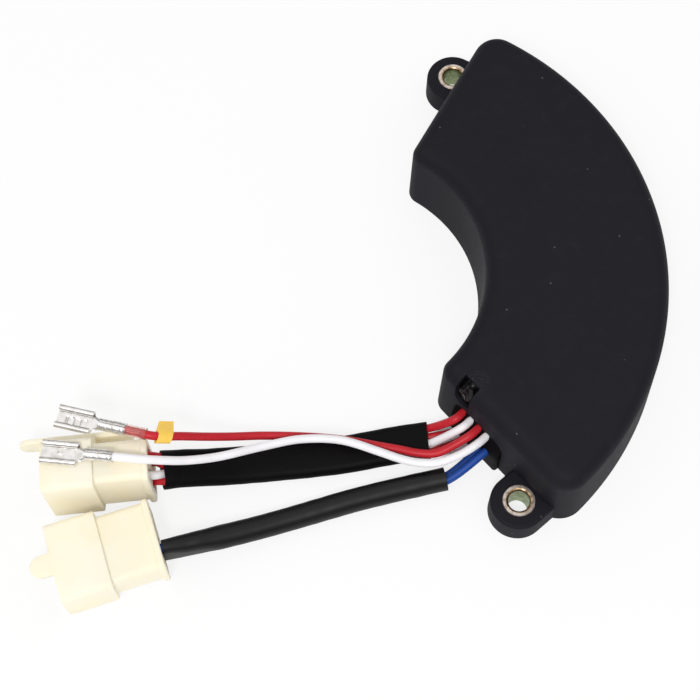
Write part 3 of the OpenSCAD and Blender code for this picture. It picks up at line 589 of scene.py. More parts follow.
def ear(name, side):
    """Bolt ear at a fixing hole, with draft and a round top edge, reaching into the end wall."""
    centre = flat(0, -HOLE_GAP / 2)
    reach = WALL_IN + WALL * EAR_BITE
    turn = angle_of(END_U)
    lean, edge = 0.15, 0.9
    levels = [(0, 0)] + [(EAR_T - edge * (1 - math.sin(t)), lean + edge * (1 - math.cos(t)))
                         for t in spread(0.0, math.pi / 2, 8)]
    rings = []
    for z, inset in levels:
        ring = arc(centre, EAR_R - inset, turn - 180, turn, 40)
        ring = [ring[0] + WALL_N * reach] + ring + [ring[-1] + WALL_N * reach]
        rings.append([Vector((p.x, p.y * side, z)) for p in ring])
    return solid(name, rings)


def rod(name, y, radius, low, high, sides=64):
    """Upright rod on the line of fixing holes."""
    return solid(name, [[Vector((radius * math.cos(a), y + radius * math.sin(a), z)) for a in around(sides)]
                        for z in (low, high)])


def slot_points():
    """Section of the trimmer slot in the end wall's plane: round foot, open at the top."""
    r = TRIM_W / 2
    foot = [(TRIM_S + r * math.cos(a), TRIM_Z + r + r * math.sin(a)) for a in spread(math.pi, math.pi, 24)]
    return foot + [(TRIM_S + r, CASE_H + PAST), (TRIM_S - r, CASE_H + PAST)]


def circle(s, z, radius, sides=40):
    """Points of way along the end wall and height round a place on it."""
    return [(s + radius * math.cos(a), z + radius * math.sin(a)) for a in around(sides)]


def exit_points(extra=0.0, foot=0.0):
    """Section of the lead exit in the end wall's plane, its upper corners round."""
    half, top, r = EXIT_W / 2 + extra, EXIT_H + extra, EXIT_ROUND
    points = [(EXIT_S - half, foot), (EXIT_S + half, foot)]
    for centre, start in ((EXIT_S + half - r, 0), (EXIT_S - half + r, 90)):
        for a in map(math.radians, spread(start, 90, 8)):
            points.append((centre + r * math.cos(a), top - r + r * math.sin(a)))
    return points


def build_case():
    """Shell with its ears, hollowed out and cut for the bushes, the trimmer and the leads."""
    body = shell("case_shell", shell_levels(0, CASE_H, 0, EDGE_R))
    cut(body, [ear("near_ear", 1), ear("far_ear", -1)], "UNION")
    below = [(s, z if z > 0 else -EXIT_PAST) for s, z in exit_points()]
    cut(body, [shell("cavity", shell_levels(-HOLE_PAST, CASE_H - ROOF, WALL, EDGE_R - WALL)),
               rod("near_hole", -HOLE_GAP / 2, BUSH_R, -HOLE_PAST, EAR_T + HOLE_PAST),
               rod("far_hole", HOLE_GAP / 2, BUSH_R, -HOLE_PAST, EAR_T + HOLE_PAST),
               prism("slot_cut", slot_points(), -PAST, TRIM_D),
               prism("exit_cut", below, -PAST, EXIT_DEEP)])
    return stands_for(body, "case")


def lathe(bm, profile, y, sides=96):
    """Ring of revolution about an upright axis, from a closed profile of radius, height and zone."""
    columns = [[bm.verts.new((r * math.cos(a), y + r * math.sin(a), z)) for r, z, _ in profile]
               for a in around(sides)]
    zones = bm.faces.layers.float.new("zone")
    for i in range(sides):
        this, after = columns[i], columns[(i + 1) % sides]
        for j in range(len(profile)):
            k = (j + 1) % len(profile)
            bm.faces.new((this[j], after[j], after[k], this[k]))[zones] = profile[j][2]


def build_bush(node, y):
    """Metal bush of an ear, with its zones: 0 on the faces, 1 on the lead-in, 2 in the bore."""
    h, c, edge = EAR_T + BUSH_PROUD, BUSH_CHAMFER, 0.15
    faces = [(HOLE_R, 0, 0), (BUSH_R - edge, 0, 0), (BUSH_R, edge, 0), (BUSH_R, h - edge, 0),
             (BUSH_R - edge, h, 0)]
    lead_in = [(HOLE_R + c * (1 - math.sin(t)), h - c * (1 - math.cos(t)), 1)
               for t in spread(0.0, math.pi / 2, 8)[:-1]]
    bm = bmesh.new()
    lathe(bm, faces + lead_in + [(HOLE_R, h - c, 2)], y)
    return piece(node, "_turned", bm, "bush_metal", 25)


def swell(s, z, at, reach):
    """Round hump of height 1 at a place on a surface, that fades out with the distance both ways."""
    return math.exp(-((s - at[0]) / reach[0]) ** 2 - ((z - at[1]) / reach[1]) ** 2)


# Lumps of the seal: distance from the slot's middle and height, reach both ways, and rise
SEAL_LUMPS = [((0.4, CASE_H - 1.6), (1.0, 1.0), 0.75), ((-1.3, CASE_H - 3.5), (0.8, 1.2), 0.7),
              ((0.9, CASE_H - 5.1), (0.8, 1.1), 0.6)]
SEAL_CLEAR, SEAL_LEAST_DEPTH, SEAL_TOE = 0.01, 0.15, 1.2
SEAL_CROWN, SEAL_DROP, SEAL_FRONT_SHARE = 0.2, 0.6, 0.4


def build_seal():
    """Smooth lump of resin in the trimmer slot, sunk at the slot's sides and swollen in three places."""
    lean = DRAFT / CASE_H
    top = CASE_H - SEAL_SUNK
    bend = top - EDGE_R
    start = SEAL_SUNK + lean * bend
    columns, rows, r = 32, 30, TRIM_W / 2 - SEAL_CLEAR
    back = TRIM_D - SEAL_CLEAR
    last = math.acos(1 - (back - 0.05 - start) / EDGE_R)
    rings = []
    for i in range(columns + 1):
        s = r * math.sin(math.pi * (i / columns - 0.5))
        low = TRIM_Z + TRIM_W / 2 - math.sqrt(max(r * r - s * s, 0.0))
        ring = []
        for j in range(rows + 1):
            share = j / rows
            if share < SEAL_FRONT_SHARE:
                z = low + (bend - low) * share / SEAL_FRONT_SHARE
                depth, tilt = start - lean * (bend - z), 0.0
            else:
                tilt = last * (share - SEAL_FRONT_SHARE) / (1 - SEAL_FRONT_SHARE)
                depth, z = start + EDGE_R * (1 - math.cos(tilt)), top - EDGE_R * (1 - math.sin(tilt))
            rise = SEAL_CROWN - SEAL_DROP * abs(s / r) ** 3
            for at, reach, height in SEAL_LUMPS:
                rise += height * swell(s, z, at, reach)
            rise *= min(1.0, (z - low) / SEAL_TOE)
            depth = max(depth - rise * math.cos(tilt), SEAL_LEAST_DEPTH)
            ring.append(at_end(TRIM_S + s, min(depth, back - 2 * SEAL_CLEAR), z + rise * math.sin(tilt)))
        ring += [at_end(TRIM_S + s, back, ring[-1].z), at_end(TRIM_S + s, back, low)]
        rings.append(ring)
    return stands_for(solid("trimmer_seal_drop", rings, "seal_resin", 60), "trimmer_seal")


def build_grommet():
    """Rubber block with a round nose and shoulders, a flange behind the wall and a bore for each lead."""
    half, columns, corner = EXIT_W / 2, 48, 0.8
    rings = []
    for i in range(columns + 1):
        s = -half * math.cos(math.pi * i / columns)
        past = max(abs(s) - half + EXIT_ROUND, 0.0)
        top = EXIT_H - EXIT_ROUND + math.sqrt(EXIT_ROUND ** 2 - past ** 2)
        past = max(abs(s) - half + corner, 0.0)
        set_back = corner - math.sqrt(corner ** 2 - past ** 2)
        last = math.asin((top - EXIT_H + EXIT_NOSE) / EXIT_NOSE)
        front = set_back - EXIT_PROUD
        ring = [(EXIT_DEEP, 0), (front, 0)]
        for a in spread(0.0, last, 24):
            ring.append((front + EXIT_NOSE * (1 - math.cos(a)), EXIT_H - EXIT_NOSE * (1 - math.sin(a))))
        ring.append((EXIT_DEEP, top))
        rings.append([at_end(EXIT_S + s, min(depth, EXIT_DEEP), z) for depth, z in ring])
    block = solid("lead_grommet_block", rings, "grommet_rubber", 50)
    flange = exit_points(FLANGE_EXTRA, RESIN_RECESS)
    cut(block, [prism("flange", flange, EXIT_DEEP - FLANGE_T, EXIT_DEEP - 0.01)], "UNION")
    ends = (-EXIT_PROUD - HOLE_PAST, EXIT_DEEP + HOLE_PAST)
    cut(block, [prism("bore", circle(EXIT_S + offset, z, BORE_R), *ends) for offset, z in HOLES.values()],
        smooth=50)
    block.data.materials.clear()
    block.data.materials.append(FINISHES["grommet_rubber"])
    return stands_for(block, "lead_grommet")


# Leads and sleeves

def smooth_route(points, step=0.8):
    """Points close together on a centripetal spline through a route."""
    points = [Vector(p) for p in points]
    ends = [2 * points[0] - points[1]] + points + [2 * points[-1] - points[-2]]
    fine = [points[0]]
    for a, b, c, d in zip(ends, ends[1:], ends[2:], ends[3:]):
        t0 = 0.0
        t1 = t0 + (b - a).length ** 0.5
        t2 = t1 + (c - b).length ** 0.5
        t3 = t2 + (d - c).length ** 0.5
        count = max(2, round((c - b).length / step))
        for i in range(1, count + 1):
            t = t1 + (t2 - t1) * i / count
            p = (a * (t1 - t) + b * (t - t0)) / (t1 - t0)
            q = (b * (t2 - t) + c * (t - t1)) / (t2 - t1)
            u = (c * (t3 - t) + d * (t - t2)) / (t3 - t2)
            v = (p * (t2 - t) + q * (t - t0)) / (t2 - t0)
            w = (q * (t3 - t) + u * (t - t1)) / (t3 - t1)
            fine.append((v * (t2 - t) + w * (t - t1)) / (t2 - t1))
    return fine


def tangent(route, i):
    return (route[min(i + 1, len(route) - 1)] - route[max(i - 1, 0)]).normalized()


def lateral(t):
    return Vector((0, 0, 1)).cross(t).normalized()


def beside(route, offsets):
    """Route beside another one, off to its side and above it by the offset at each point."""
    points = [Vector(p) for p in route]
    return [p + lateral(tangent(points, i)) * offsets[i][0] + Vector((0, 0, offsets[i][1]))
            for i, p in enumerate(points)]


def eased(first, last, count):
    """One pair of values for each point of a route, changing to another over the last two points."""
    middle = tuple((a + b) / 2 for a, b in zip(first, last))
    return [first] * (count - 2) + [middle, last]


def lengthened(route, more):
    """Route whose last stretch goes on a little."""
    points = [Vector(p) for p in route]
    return points[:-1] + [points[-1] + (points[-1] - points[-2]).normalized() * more]


def in_four_wire(p):
    return FOUR_WIRE_AT + Vector((p[0], p[2], -p[1]))


def in_two_wire(p):
    return TWO_WIRE_AT + Matrix.Rotation(math.radians(TWO_WIRE_TURN), 3, "Z") @ Vector(p)


def lead_start(node):
    """Straight start of a lead: inside the case, at the wall, and just outside the grommet."""
    offset, z = HOLES[node]
    return [at_end(EXIT_S + offset, depth, z) for depth in (LEAD_INSIDE, 0, -EXIT_PROUD - LEAD_STRAIGHT)]


def wire_end(side, row):
    return [(PLUG_L - into, side * CONTACT_PITCH / 2, row * CONTACT_RISE / 2) for into in WIRE_INTO]


def flat_lead(node, place, side, row):
    """Route of one of the four leads in the flat sleeve, from its hole to its contact."""
    lift = FLAT_LIFT if place % 2 == 0 else -FLAT_LIFT
    middle = beside(FLAT_ROUTE, [((place - 1.5) * FLAT_PITCH, lift)] * len(FLAT_ROUTE))
    turn = in_four_wire((PLUG_L + WIRE_TURN_BEHIND, side * CONTACT_PITCH / 4, row * CONTACT_RISE / 2))
    return lead_start(node) + middle + [turn] + [in_four_wire(p) for p in wire_end(side, row)]


def round_lead(node, sign):
    """Route of one of the two leads in the round sleeve."""
    offsets = eased((PAIR_SIDE, PAIR_SIDE), (0, CONTACT_RISE / 2), len(ROUND_ROUTE))
    middle = beside(ROUND_ROUTE, [(sign * a, sign * b) for a, b in offsets])
    return lead_start(node) + middle + [in_two_wire(p) for p in wire_end(-1, sign)]


def tube_tree():
    """Geometry nodes that sweep a round section along a curve."""
    tree = bpy.data.node_groups.new("lead_sweep", "GeometryNodeTree")
    face = tree.interface
    face.new_socket("Geometry", in_out="INPUT", socket_type="NodeSocketGeometry")
    radius = face.new_socket("Radius", in_out="INPUT", socket_type="NodeSocketFloat")
    finish = face.new_socket("Material", in_out="INPUT", socket_type="NodeSocketMaterial")
    face.new_socket("Geometry", in_out="OUTPUT", socket_type="NodeSocketGeometry")
    made = {}
    for key, kind in (("start", "NodeGroupInput"), ("circle", "GeometryNodeCurvePrimitiveCircle"),
                      ("sweep", "GeometryNodeCurveToMesh"), ("smooth", "GeometryNodeSetShadeSmooth"),
                      ("real", "GeometryNodeRealizeInstances"), ("paint", "GeometryNodeSetMaterial"),
                      ("stop", "NodeGroupOutput")):
        made[key] = tree.nodes.new(kind)
    made["circle"].inputs["Resolution"].default_value = 20
    made["sweep"].inputs["Fill Caps"].default_value = True
    for first, given, second, taken in (
            ("start", "Radius", "circle", "Radius"), ("start", "Geometry", "sweep", "Curve"),
            ("circle", "Curve", "sweep", "Profile Curve"), ("sweep", "Mesh", "smooth", "Geometry"),
            ("smooth", "Geometry", "real", "Geometry"), ("real", "Geometry", "paint", "Geometry"),
            ("start", "Material", "paint", "Material"), ("paint", "Geometry", "stop", "Geometry")):
        tree.links.new(made[first].outputs[given], made[second].inputs[taken])
    return tree, radius.identifier, finish.identifier


TUBE_TREE, TUBE_RADIUS, TUBE_FINISH = tube_tree()


def swept(name, path, radius, finish):
    """Round cord along a path, swept by the geometry nodes."""
    curve = bpy.data.curves.new(name + "_path", "CURVE")
    curve.dimensions = "3D"
    spline = curve.splines.new("POLY")
    spline.points.add(len(path) - 1)
    for point, p in zip(spline.points, path):
        point.co = (p.x * MM, p.y * MM, p.z * MM, 1)
    guide = add_object(name + "_path", curve)
    sweep = guide.modifiers.new("sweep", "NODES")
    sweep.node_group = TUBE_TREE
    sweep[TUBE_RADIUS] = radius * MM
    sweep[TUBE_FINISH] = FINISHES[finish]
    mesh = evaluated_mesh(guide)
    mesh.name = name
    guide.modifiers.clear()
    bpy.data.objects.remove(guide)
    return add_object(name, mesh)


def stadium(p, t, half, sides=40):
    """Ring round a point of a route: a circle, or a flat section with round edges."""
    x = lateral(t)
    y = t.cross(x)
    r = min(half)
    ring = []
    for k in range(sides):
        a = 2 * math.pi * (k + 0.5) / sides
        ring.append(p + x * (math.copysign(half[0] - r, math.cos(a)) + r * math.cos(a))
                    + y * (math.copysign(half[1] - r, math.sin(a)) + r * math.sin(a)))
    return ring


def build_sleeve(node, route, halves, finish):
    """Open tube along a route, its section changing from one end to the other."""
    knots = [Vector(p) for p in route]
    path = smooth_route(knots, 1.0)
    marks = []
    for p in path:
        i = min(range(len(knots)), key=lambda n: (knots[n] - p).length)
        near = [n for n in (i - 1, i, i + 1) if 0 <= n < len(knots)]
        a, b = min(zip(near, near[1:]), key=lambda ab: (knots[ab[0]] - p).length + (knots[ab[1]] - p).length
                   - (knots[ab[1]] - knots[ab[0]]).length)
        share = (p - knots[a]).length / ((p - knots[a]).length + (p - knots[b]).length)
        share = share * share * (3 - 2 * share)
        marks.append(tuple(u + (v - u) * share for u, v in zip(halves[a], halves[b])))
    outer, inner = [], []
    uneven, per_mm = 0.02, 0.35
    for i, p in enumerate(path):
        t = tangent(path, i)
        wave = 1 + uneven * noise.noise(p * per_mm)
        half = tuple(h * wave for h in marks[i])
        outer.append(stadium(p, t, half))
        inner.append(stadium(p, t, tuple(h - SLEEVE_WALL for h in half)))
    return piece(node, "_tube", open_tube(outer, inner), finish, 50)


# Plugs

def rounded_ring(w, h, r, steps=6):
    """Rectangle with round corners, as points of y and z."""
    points = []
    for cy, cz, start in ((1, 1, 0), (-1, 1, 90), (-1, -1, 180), (1, -1, 270)):
        for a in map(math.radians, spread(start, 90, steps)):
            points.append((cy * (w / 2 - r) + r * math.cos(a), cz * (h / 2 - r) + r * math.sin(a)))
    return points


def bar(name, stations, place):
    """Solid through rounded rectangles: way along x, width, height and corner radius."""
    return solid(name, [[place((x, y, z)) for y, z in rounded_ring(w, h, r)] for x, w, h, r in stations],
                 "nylon_cream")


def tongue_plate(name, place, low, thick, out, tail):
    """Flat plate along a plug, from a round tip past the mouth to a square tail, with soft edges."""
    half, edge = LATCH_W / 2, 0.4
    rings = []
    for z, inset in ((low, edge), (low + edge * 0.3, edge * 0.3), (low + edge, 0), (low + thick - edge, 0),
                     (low + thick - edge * 0.3, edge * 0.3), (low + thick, edge)):
        r = half - inset
        ring = [(half - out + r * math.cos(a), r * math.sin(a)) for a in spread(math.pi / 2, math.pi, 24)]
        ring += [(tail - inset, -r), (tail - inset, r)]
        rings.append([place((x, y, z)) for x, y in ring])
    return solid(name, rings, "nylon_cream")


def latch(place):
    """Latch arm of the four-wire plug, and its bridge on the shroud."""
    arm = tongue_plate("latch_arm", place, PLUG_T / 2 + LATCH_GAP, LATCH_T, LATCH_OUT,
                       PLUG_L - RIM_L - LATCH_W / 2)
    sunk, into_arm = 1.0, 0.6
    z = PLUG_T / 2 + (LATCH_GAP - sunk) / 2
    stations = [(x, LATCH_W, LATCH_GAP + sunk + into_arm, 0.3) for x in (SHROUD_L / 2, SHROUD_L - 0.1)]
    foot = bar("latch_foot", stations, lambda p: place((p[0], p[1], p[2] + z)))
    return [arm, foot]


def tongue(place):
    """Tongue of the two-wire plug: the upper wall of its mouth, carried on past it."""
    return [tongue_plate("tongue", place, PLUG_T / 2 - SHROUD_WALL, SHROUD_WALL, TONGUE_OUT, 2.0)]


def build_plug(node, place, catch):
    """Nylon plug: shroud with its mouth, stepped rear body with a rim, cells, and a latch or a tongue."""
    w, t, r, e = PLUG_W, PLUG_T, PLUG_ROUND, 0.35
    shroud = (w, t)
    mouth = (w - 2 * SHROUD_WALL, t - 2 * SHROUD_WALL)
    rear = (w - 2 * SHROUD_STEP, t - 2 * SHROUD_STEP)
    rim = (rear[0] + 2 * RIM_EXTRA, rear[1] + 2 * RIM_EXTRA)
    rim_at, slope = PLUG_L - RIM_L, 0.3
    stations = [
        (MOUTH_D, mouth, 0, r / 2), (e, mouth, 0, r / 2), (e * 0.3, mouth, e * 0.6, r * 0.7),
        (0, mouth, 2 * e, r * 0.8), (0, shroud, -2 * e, r - e), (e * 0.3, shroud, -e * 0.6, r),
        (e, shroud, 0, r), (SHROUD_L - e, shroud, 0, r), (SHROUD_L - e * 0.3, shroud, -e * 0.6, r),
        (SHROUD_L, shroud, -2 * e, r), (SHROUD_L, rear, e, r), (SHROUD_L + e, rear, 0, r),
        (rim_at - slope, rear, 0, r), (rim_at, rim, -slope, r), (rim_at + slope, rim, 0, r),
        (PLUG_L - e, rim, 0, r), (PLUG_L - e * 0.3, rim, -e * 0.6, r), (PLUG_L, rim, -2 * e, r - e)]
    body = bar(node + "_moulding", [(x, size[0] + more, size[1] + more, corner)
                                    for x, size, more, corner in stations], place)
    cut(body, catch(place), "UNION")
    ends = (MOUTH_D - HOLE_PAST, PLUG_L + HOLE_PAST)
    cells = []
    for side in (-1, 1):
        for row in (-1, 1):
            y, h = side * CONTACT_PITCH / 2, row * CONTACT_RISE / 2
            cells.append(bar("cell", [(x, CELL_W, CELL_H, 0.3) for x in ends],
                             lambda p, y=y, h=h: place((p[0], p[1] + y, p[2] + h))))
    cut(body, cells, smooth=35)
    return stands_for(body, node)


# Receptacles

def tip_frame(route):
    """Frame at the tip of a lead: x along its last stretch, z up."""
    tip, before = Vector(route[-1]), Vector(route[-2])
    turn = Matrix.Rotation(math.atan2(tip.y - before.y, tip.x - before.x), 4, "Z")
    return Matrix.Translation(tip) @ turn


def curl(half, radius, turn, floor, steps=20):
    """Section of the folded sheet: a floor, and a side that rolls up by some degrees from each edge."""
    side = []
    for a in map(math.radians, spread(-90, turn, steps)):
        side.append((half + radius * math.cos(a), floor + radius + radius * math.sin(a)))
    across = [(half * k / 10, floor) for k in range(10)]
    right = across + side
    return [(-y, z) for y, z in reversed(right[1:])] + right


# Pip: place along and across the floor, reach both ways, and height
PIP_AT, PIP_REACH, PIP_H = (4.4, 0), (0.6, 0.3), 0.26
# Spring: window along and across the floor, its depth, and the ribs in it with their share of the depth
SPRING_X, SPRING_Y, SPRING_D, SPRING_RIBS, RIB_SHARE = (1.6, 6.6), (-0.5, 1.5), 0.32, 3, 0.7


def pip(x, y):
    """Height of a floor with a small pip, at a place along it and across it."""
    return PIP_H * swell(x, y, PIP_AT, PIP_REACH)


def spring(x, y):
    """Height of a floor with a sunk window, in which a spring makes its ribs."""
    if not (SPRING_X[0] < x < SPRING_X[1] and SPRING_Y[0] < y < SPRING_Y[1]):
        return 0.0
    share = (x - SPRING_X[0]) / (SPRING_X[1] - SPRING_X[0])
    return -SPRING_D * (1 - RIB_SHARE * math.sin(math.pi * share * SPRING_RIBS) ** 2)


def build_receptacle(node, route, pressed):
    """Receptacle folded from one sheet: crimps on the lead, a neck, then a floor with rolled sides."""
    t = SPADE_T * 0.8
    roll = SPADE_ROLL * 0.52
    middle = SPADE_W / 2 - roll - t / 2
    grip = BORE_R + SPADE_T / 2
    floor, tight = -grip, grip * 0.97
    start = BARREL_L - BARREL_GRIP + NECK_L
    stop = start + SPADE_L
    # Way along x, half the floor's width, radius of the sides and the degrees that they roll up by
    stations = [
        (-BARREL_GRIP, 0.02, grip * 1.04, 172), (-BARREL_GRIP + 0.3, 0.02, grip, 178),
        (-3.0, 0.02, grip, 178), (-2.7, 0.03, grip, 179), (-2.4, 0.02, grip, 179), (-1.9, 0.02, grip, 179),
        (-1.6, 0.02, tight, 179), (-1.3, 0.02, tight, 179), (1.4, 0.02, tight, 179), (1.7, 0.1, tight, 150),
        (2.0, 0.35, grip * 0.8, 62), (2.6, 0.7, grip * 0.75, 52), (3.2, 1.2, roll * 0.85, 70),
        (start, middle * 0.9, roll, 150), (start + 0.25, middle, roll, 270), (start + 0.6, middle, roll, 285),
        (stop - 0.9, middle, roll, 285), (stop - 0.3, middle, roll, 275),
        (stop, middle * 1.01, roll * 0.98, 240)]
    fine = []
    for (x0, *a), (x1, *b) in zip(stations, stations[1:]):
        parts = 3 if x1 - x0 < 1.5 else 36
        for k in range(parts):
            s = k / parts
            fine.append((x0 + (x1 - x0) * s, *(u + (v - u) * s for u, v in zip(a, b))))
    fine.append(stations[-1])
    frame_at = tip_frame(route)
    crimp_end, crease_depth = 1.8, 0.4
    rings = []
    for x, half, radius, turn in fine:
        line = curl(half, radius, turn, floor)
        inner, outer = [], []
        for i, (y, z) in enumerate(line):
            before, after = line[max(i - 1, 0)], line[min(i + 1, len(line) - 1)]
            along = flat(after[0] - before[0], after[1] - before[1]).normalized()
            side = flat(-along.y, along.x) * t / 2
            bed = pressed(x - start, y) if x > start and z < floor + 0.01 else 0.0
            crease = flat(0, 0)
            if x < crimp_end:
                crease = side * noise.noise(Vector((x * 2.4, i * 0.4, 0))) * crease_depth
            inner.append(frame_at @ Vector((x, y + side.x, z + side.y + bed)))
            outer.append(frame_at @ Vector((x, y - side.x + crease.x, z - side.y + crease.y + bed)))
        rings.append(outer + inner[::-1])
    bm = bmesh.new()
    strip_caps(bm, skin(bm, rings, capped=False))
    return piece(node, "_folded", bm, "tin", 50)


def build_clear_tube(route):
    """Clear tube behind the red receptacle's crimp."""
    frame_at = tip_frame(route)
    outer, inner = [], []
    for share in (i / 14 for i in range(15)):
        x = -BARREL_GRIP - CLEAR_L * (1 - share)
        bulge = 0.06 * noise.noise(Vector((x * 0.9, 0, 0)))
        for rings, r in ((outer, BORE_R + CLEAR_WALL + bulge), (inner, BORE_R)):
            rings.append([frame_at @ Vector((x, r * math.cos(a), r * math.sin(a))) for a in around(40)])
    return piece("clear_tube", "_sheath", open_tube(outer, inner), "clear_vinyl", 50)


def flag_section(hold, tip, fold, sheet, steps=20):
    """Section of a tape folded round a lead: round on one side, pressed flat to a tip on the other."""
    upper = [(-fold * math.cos(a), hold * math.sin(a)) for a in spread(0.0, math.pi / 2, steps)]
    for i in range(1, steps + 1):
        share = i / steps
        ease = 1 - share * share * (3 - 2 * share)
        upper.append((tip * share, sheet + (hold - sheet) * ease))
    return upper + [(u, -v) for u, v in reversed(upper[1:])]


def build_marker(route):
    """Yellow tape folded round the red receptacle's lead, its free end a flat flag."""
    knot = Vector(route[-2])
    toward = (Vector(route[-3]) - knot).normalized()
    side = lateral(toward)
    up = toward.cross(side)
    section = flag_section(LEAD_R + 0.3, FLAG_TIP, FLAG_FOLD, FLAG_SHEET)
    grip = LEAD_R * 1.04
    bore = [(grip * math.cos(a), -(grip * math.sin(a))) for a in around(len(section), math.pi)]
    outer, inner = [], []
    for i in range(9):
        p = knot + toward * (MARKER_GAP + MARKER_L * i / 8)
        curl_up = 0.12 * noise.noise(Vector((i * 0.4, 0, 0)))
        outer.append([p + (side + toward * FLAG_SLANT) * u + up * (v + curl_up * max(u, 0) / 3)
                      for u, v in section])
        inner.append([p + side * u + up * v for u, v in bore])
    return piece("marker_band", "_wrap", open_tube(outer, inner), "marker_yellow", 50)


# All pieces

def spade_lead(node, route):
    """Route of a lead to a receptacle, with one more point so that it is straight in the crimp."""
    points = [Vector(p) for p in route]
    inner = points[-1] + (points[-2] - points[-1]).normalized() * CRIMP_STRAIGHT
    return lead_start(node) + points[:-1] + [inner, points[-1]]


four_wire = build_plug("four_wire_plug", in_four_wire, latch)
two_wire = build_plug("two_wire_plug", in_two_wire, tongue)
flat_sleeve = build_sleeve("flat_sleeve", lengthened(FLAT_ROUTE, FLAT_MORE),
                           [FLAT_HALF] * (len(FLAT_ROUTE) - 1) + [FLAT_FLARE], "sleeve_flat_black")
round_sleeve = build_sleeve("round_sleeve", lengthened(ROUND_ROUTE, ROUND_MORE),
                            eased(ROUND_HALF, ROUND_END_HALF, len(ROUND_ROUTE)), "sleeve_round_black")
red_receptacle = build_receptacle("red_receptacle", RED_SPADE_ROUTE, spring)
white_receptacle = build_receptacle("white_receptacle", WHITE_SPADE_ROUTE, pip)
clear_tube = build_clear_tube(RED_SPADE_ROUTE)
marker_band = build_marker(RED_SPADE_ROUTE)

four_contacts, two_contacts = nodes["four_wire_contacts"], nodes["two_wire_contacts"]
LEADS = [
    (flat_lead, "red_plug_lead", (0, -1, 1), [four_wire, flat_sleeve, four_contacts]),
    (flat_lead, "red_return_lead", (1, 1, 1), [four_wire]),
    (flat_lead, "white_plug_lead", (2, -1, -1), [four_wire]),
    (flat_lead, "red_sense_lead", (3, 1, -1), [four_wire]),
    (round_lead, "blue_lead_left", (-1,), [two_wire, round_sleeve, two_contacts]),
    (round_lead, "blue_lead_right", (1,), [two_wire]),
    (spade_lead, "red_spade_lead", (RED_SPADE_ROUTE,), [red_receptacle, clear_tube, marker_band]),
    (spade_lead, "white_spade_lead", (WHITE_SPADE_ROUTE,), [white_receptacle]),
]
for way, node, where, carried in LEADS:
    finish = node.split("_")[0] + "_insulation"
    path = smooth_route(way(node, *where))
    lead = stands_for(swept(node + "_cord", path, LEAD_R, finish), node)
    length = sum((b - a).length for a, b in zip(path, path[1:])) * MM
    lead_start(node)[1] * MM
    [p * MM for p in path]

build_case()
build_bush("near_bush", -HOLE_GAP / 2)
build_bush("far_bush", HOLE_GAP / 2)
build_seal()
build_grommet()

# CAD nodes that stay, by their finish
KEPT = {
    "resin": "potting_resin", "board_green": "circuit_board", "plate_aluminium": "heat_sink",
    "package_black": "power_transistor bridge_rectifier control_chip diodes",
    "can_blue": "main_capacitor timing_capacitor", "film_yellow": "film_capacitor",
    "ceramic_white": "dropping_resistor", "resistor_tan": "small_resistors", "trimmer_blue": "trimmer",
    "brass": "trimmer_screw four_wire_contacts two_wire_contacts",
}
for finish, names in KEPT.items():
    for name in names.split():
        for place in nodes[name].material_slots:
            place.material = FINISHES[finish]


# Floor, backdrop and light

WHITE = (1, 1, 1, 1)
# White of the floor, the share of it that glows, and the share of that glow in mirrored rays
FLOOR_WHITE, FLOOR_GLOW, MIRRORED_GLOW = 0.96, 0.8, 0.55
# Place on the floor in the shade of the leads, where they leave the case, and its reach in metres
UNDER_LEADS, SHADE_REACH, SHADE_FADE = Vector((-13.3, -41, 0)), 0.004, 0.002
# Light of the sky, in mirrored rays from the horizon to overhead, and the height at which that rises
SKY_LIGHT, MIRRORED_LOW, MIRRORED_HIGH = 0.72, 0.15, 1.02
SKY_RISE_FROM, SKY_RISE_OVER = 0.35, 0.4


def ray(tree, kind):
    """1 for rays of a kind and 0 for the others."""
    return add_node(tree, "LightPath", f"Is {kind} Ray")


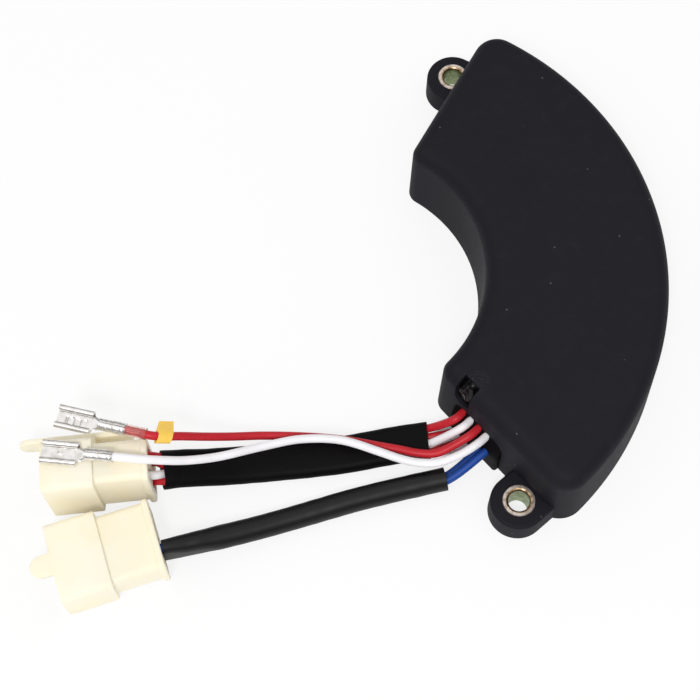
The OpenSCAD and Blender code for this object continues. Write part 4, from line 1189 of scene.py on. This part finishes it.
def white_floor():
    """White floor that shows as the white background, and keeps a faint shadow of the object."""
    made = bpy.data.materials.new("white_floor")
    made.use_nodes = True
    tree = made.node_tree
    tree.nodes.remove(tree.nodes["Principled BSDF"])
    plain = add_node(tree, "BsdfDiffuse", 0, {"Color": shaded(WHITE, FLOOR_WHITE)})
    glow = add_node(tree, "Emission", 0, {"Color": WHITE})
    spot = add_node(tree, "NewGeometry", "Position")
    apart = add_node(tree, "VectorMath", "Value", {0: spot, 1: UNDER_LEADS * MM}, operation="DISTANCE")
    clear = ((apart - SHADE_REACH) * (1 / SHADE_FADE)).held()
    seen = ray(tree, "Camera") + ray(tree, "Transmission") + ray(tree, "Glossy") * MIRRORED_GLOW
    share = seen.at_most_one() * clear * FLOOR_GLOW
    both = add_node(tree, "MixShader", 0, {0: share, 1: plain, 2: glow})
    put(tree, tree.nodes["Material Output"].inputs["Surface"], both)
    bm = bmesh.new()
    bmesh.ops.create_grid(bm, x_segments=1, y_segments=1, size=3)
    mesh = bpy.data.meshes.new("floor")
    bm.to_mesh(mesh)
    bm.free()
    mesh.materials.append(made)
    add_object("floor", mesh)


def white_world():
    """White sky, seen as pure white, and in mirrored rays dark near the horizon."""
    world = bpy.data.worlds.new("studio")
    bpy.context.scene.world = world
    world.use_nodes = True
    tree = world.node_tree
    back = tree.nodes["Background"]
    back.inputs["Color"].default_value = WHITE
    seen = (ray(tree, "Camera") + ray(tree, "Transmission")).at_most_one()
    toward = add_node(tree, "TexCoord", "Generated")
    height = add_node(tree, "SeparateXYZ", "Z", {0: toward})
    high = ((height - SKY_RISE_FROM) * (1 / SKY_RISE_OVER)).held()
    mirrored = ray(tree, "Glossy") * (high * (MIRRORED_HIGH - MIRRORED_LOW) - (SKY_LIGHT - MIRRORED_LOW))
    put(tree, back.inputs["Strength"], seen * (1 - SKY_LIGHT) + mirrored + SKY_LIGHT)


def softbox(name, at, aim, size, watts):
    """Round soft lamp at a place, in metres, that looks at another one."""
    data = bpy.data.lights.new(name, "AREA")
    data.shape = "DISK"
    data.size = size
    data.energy = watts
    lamp = add_object(name, data)
    away = (Vector(at) - Vector(aim)).normalized()
    lamp.matrix_world = Matrix.Translation(at) @ away.to_track_quat("Z", "Y").to_matrix().to_4x4()


white_floor()
white_world()
softbox("key", (-0.2, -0.52, 0.83), (-0.03, 0, 0), 0.22, 3.4)

bpy.context.scene.view_settings.view_transform = "Standard"
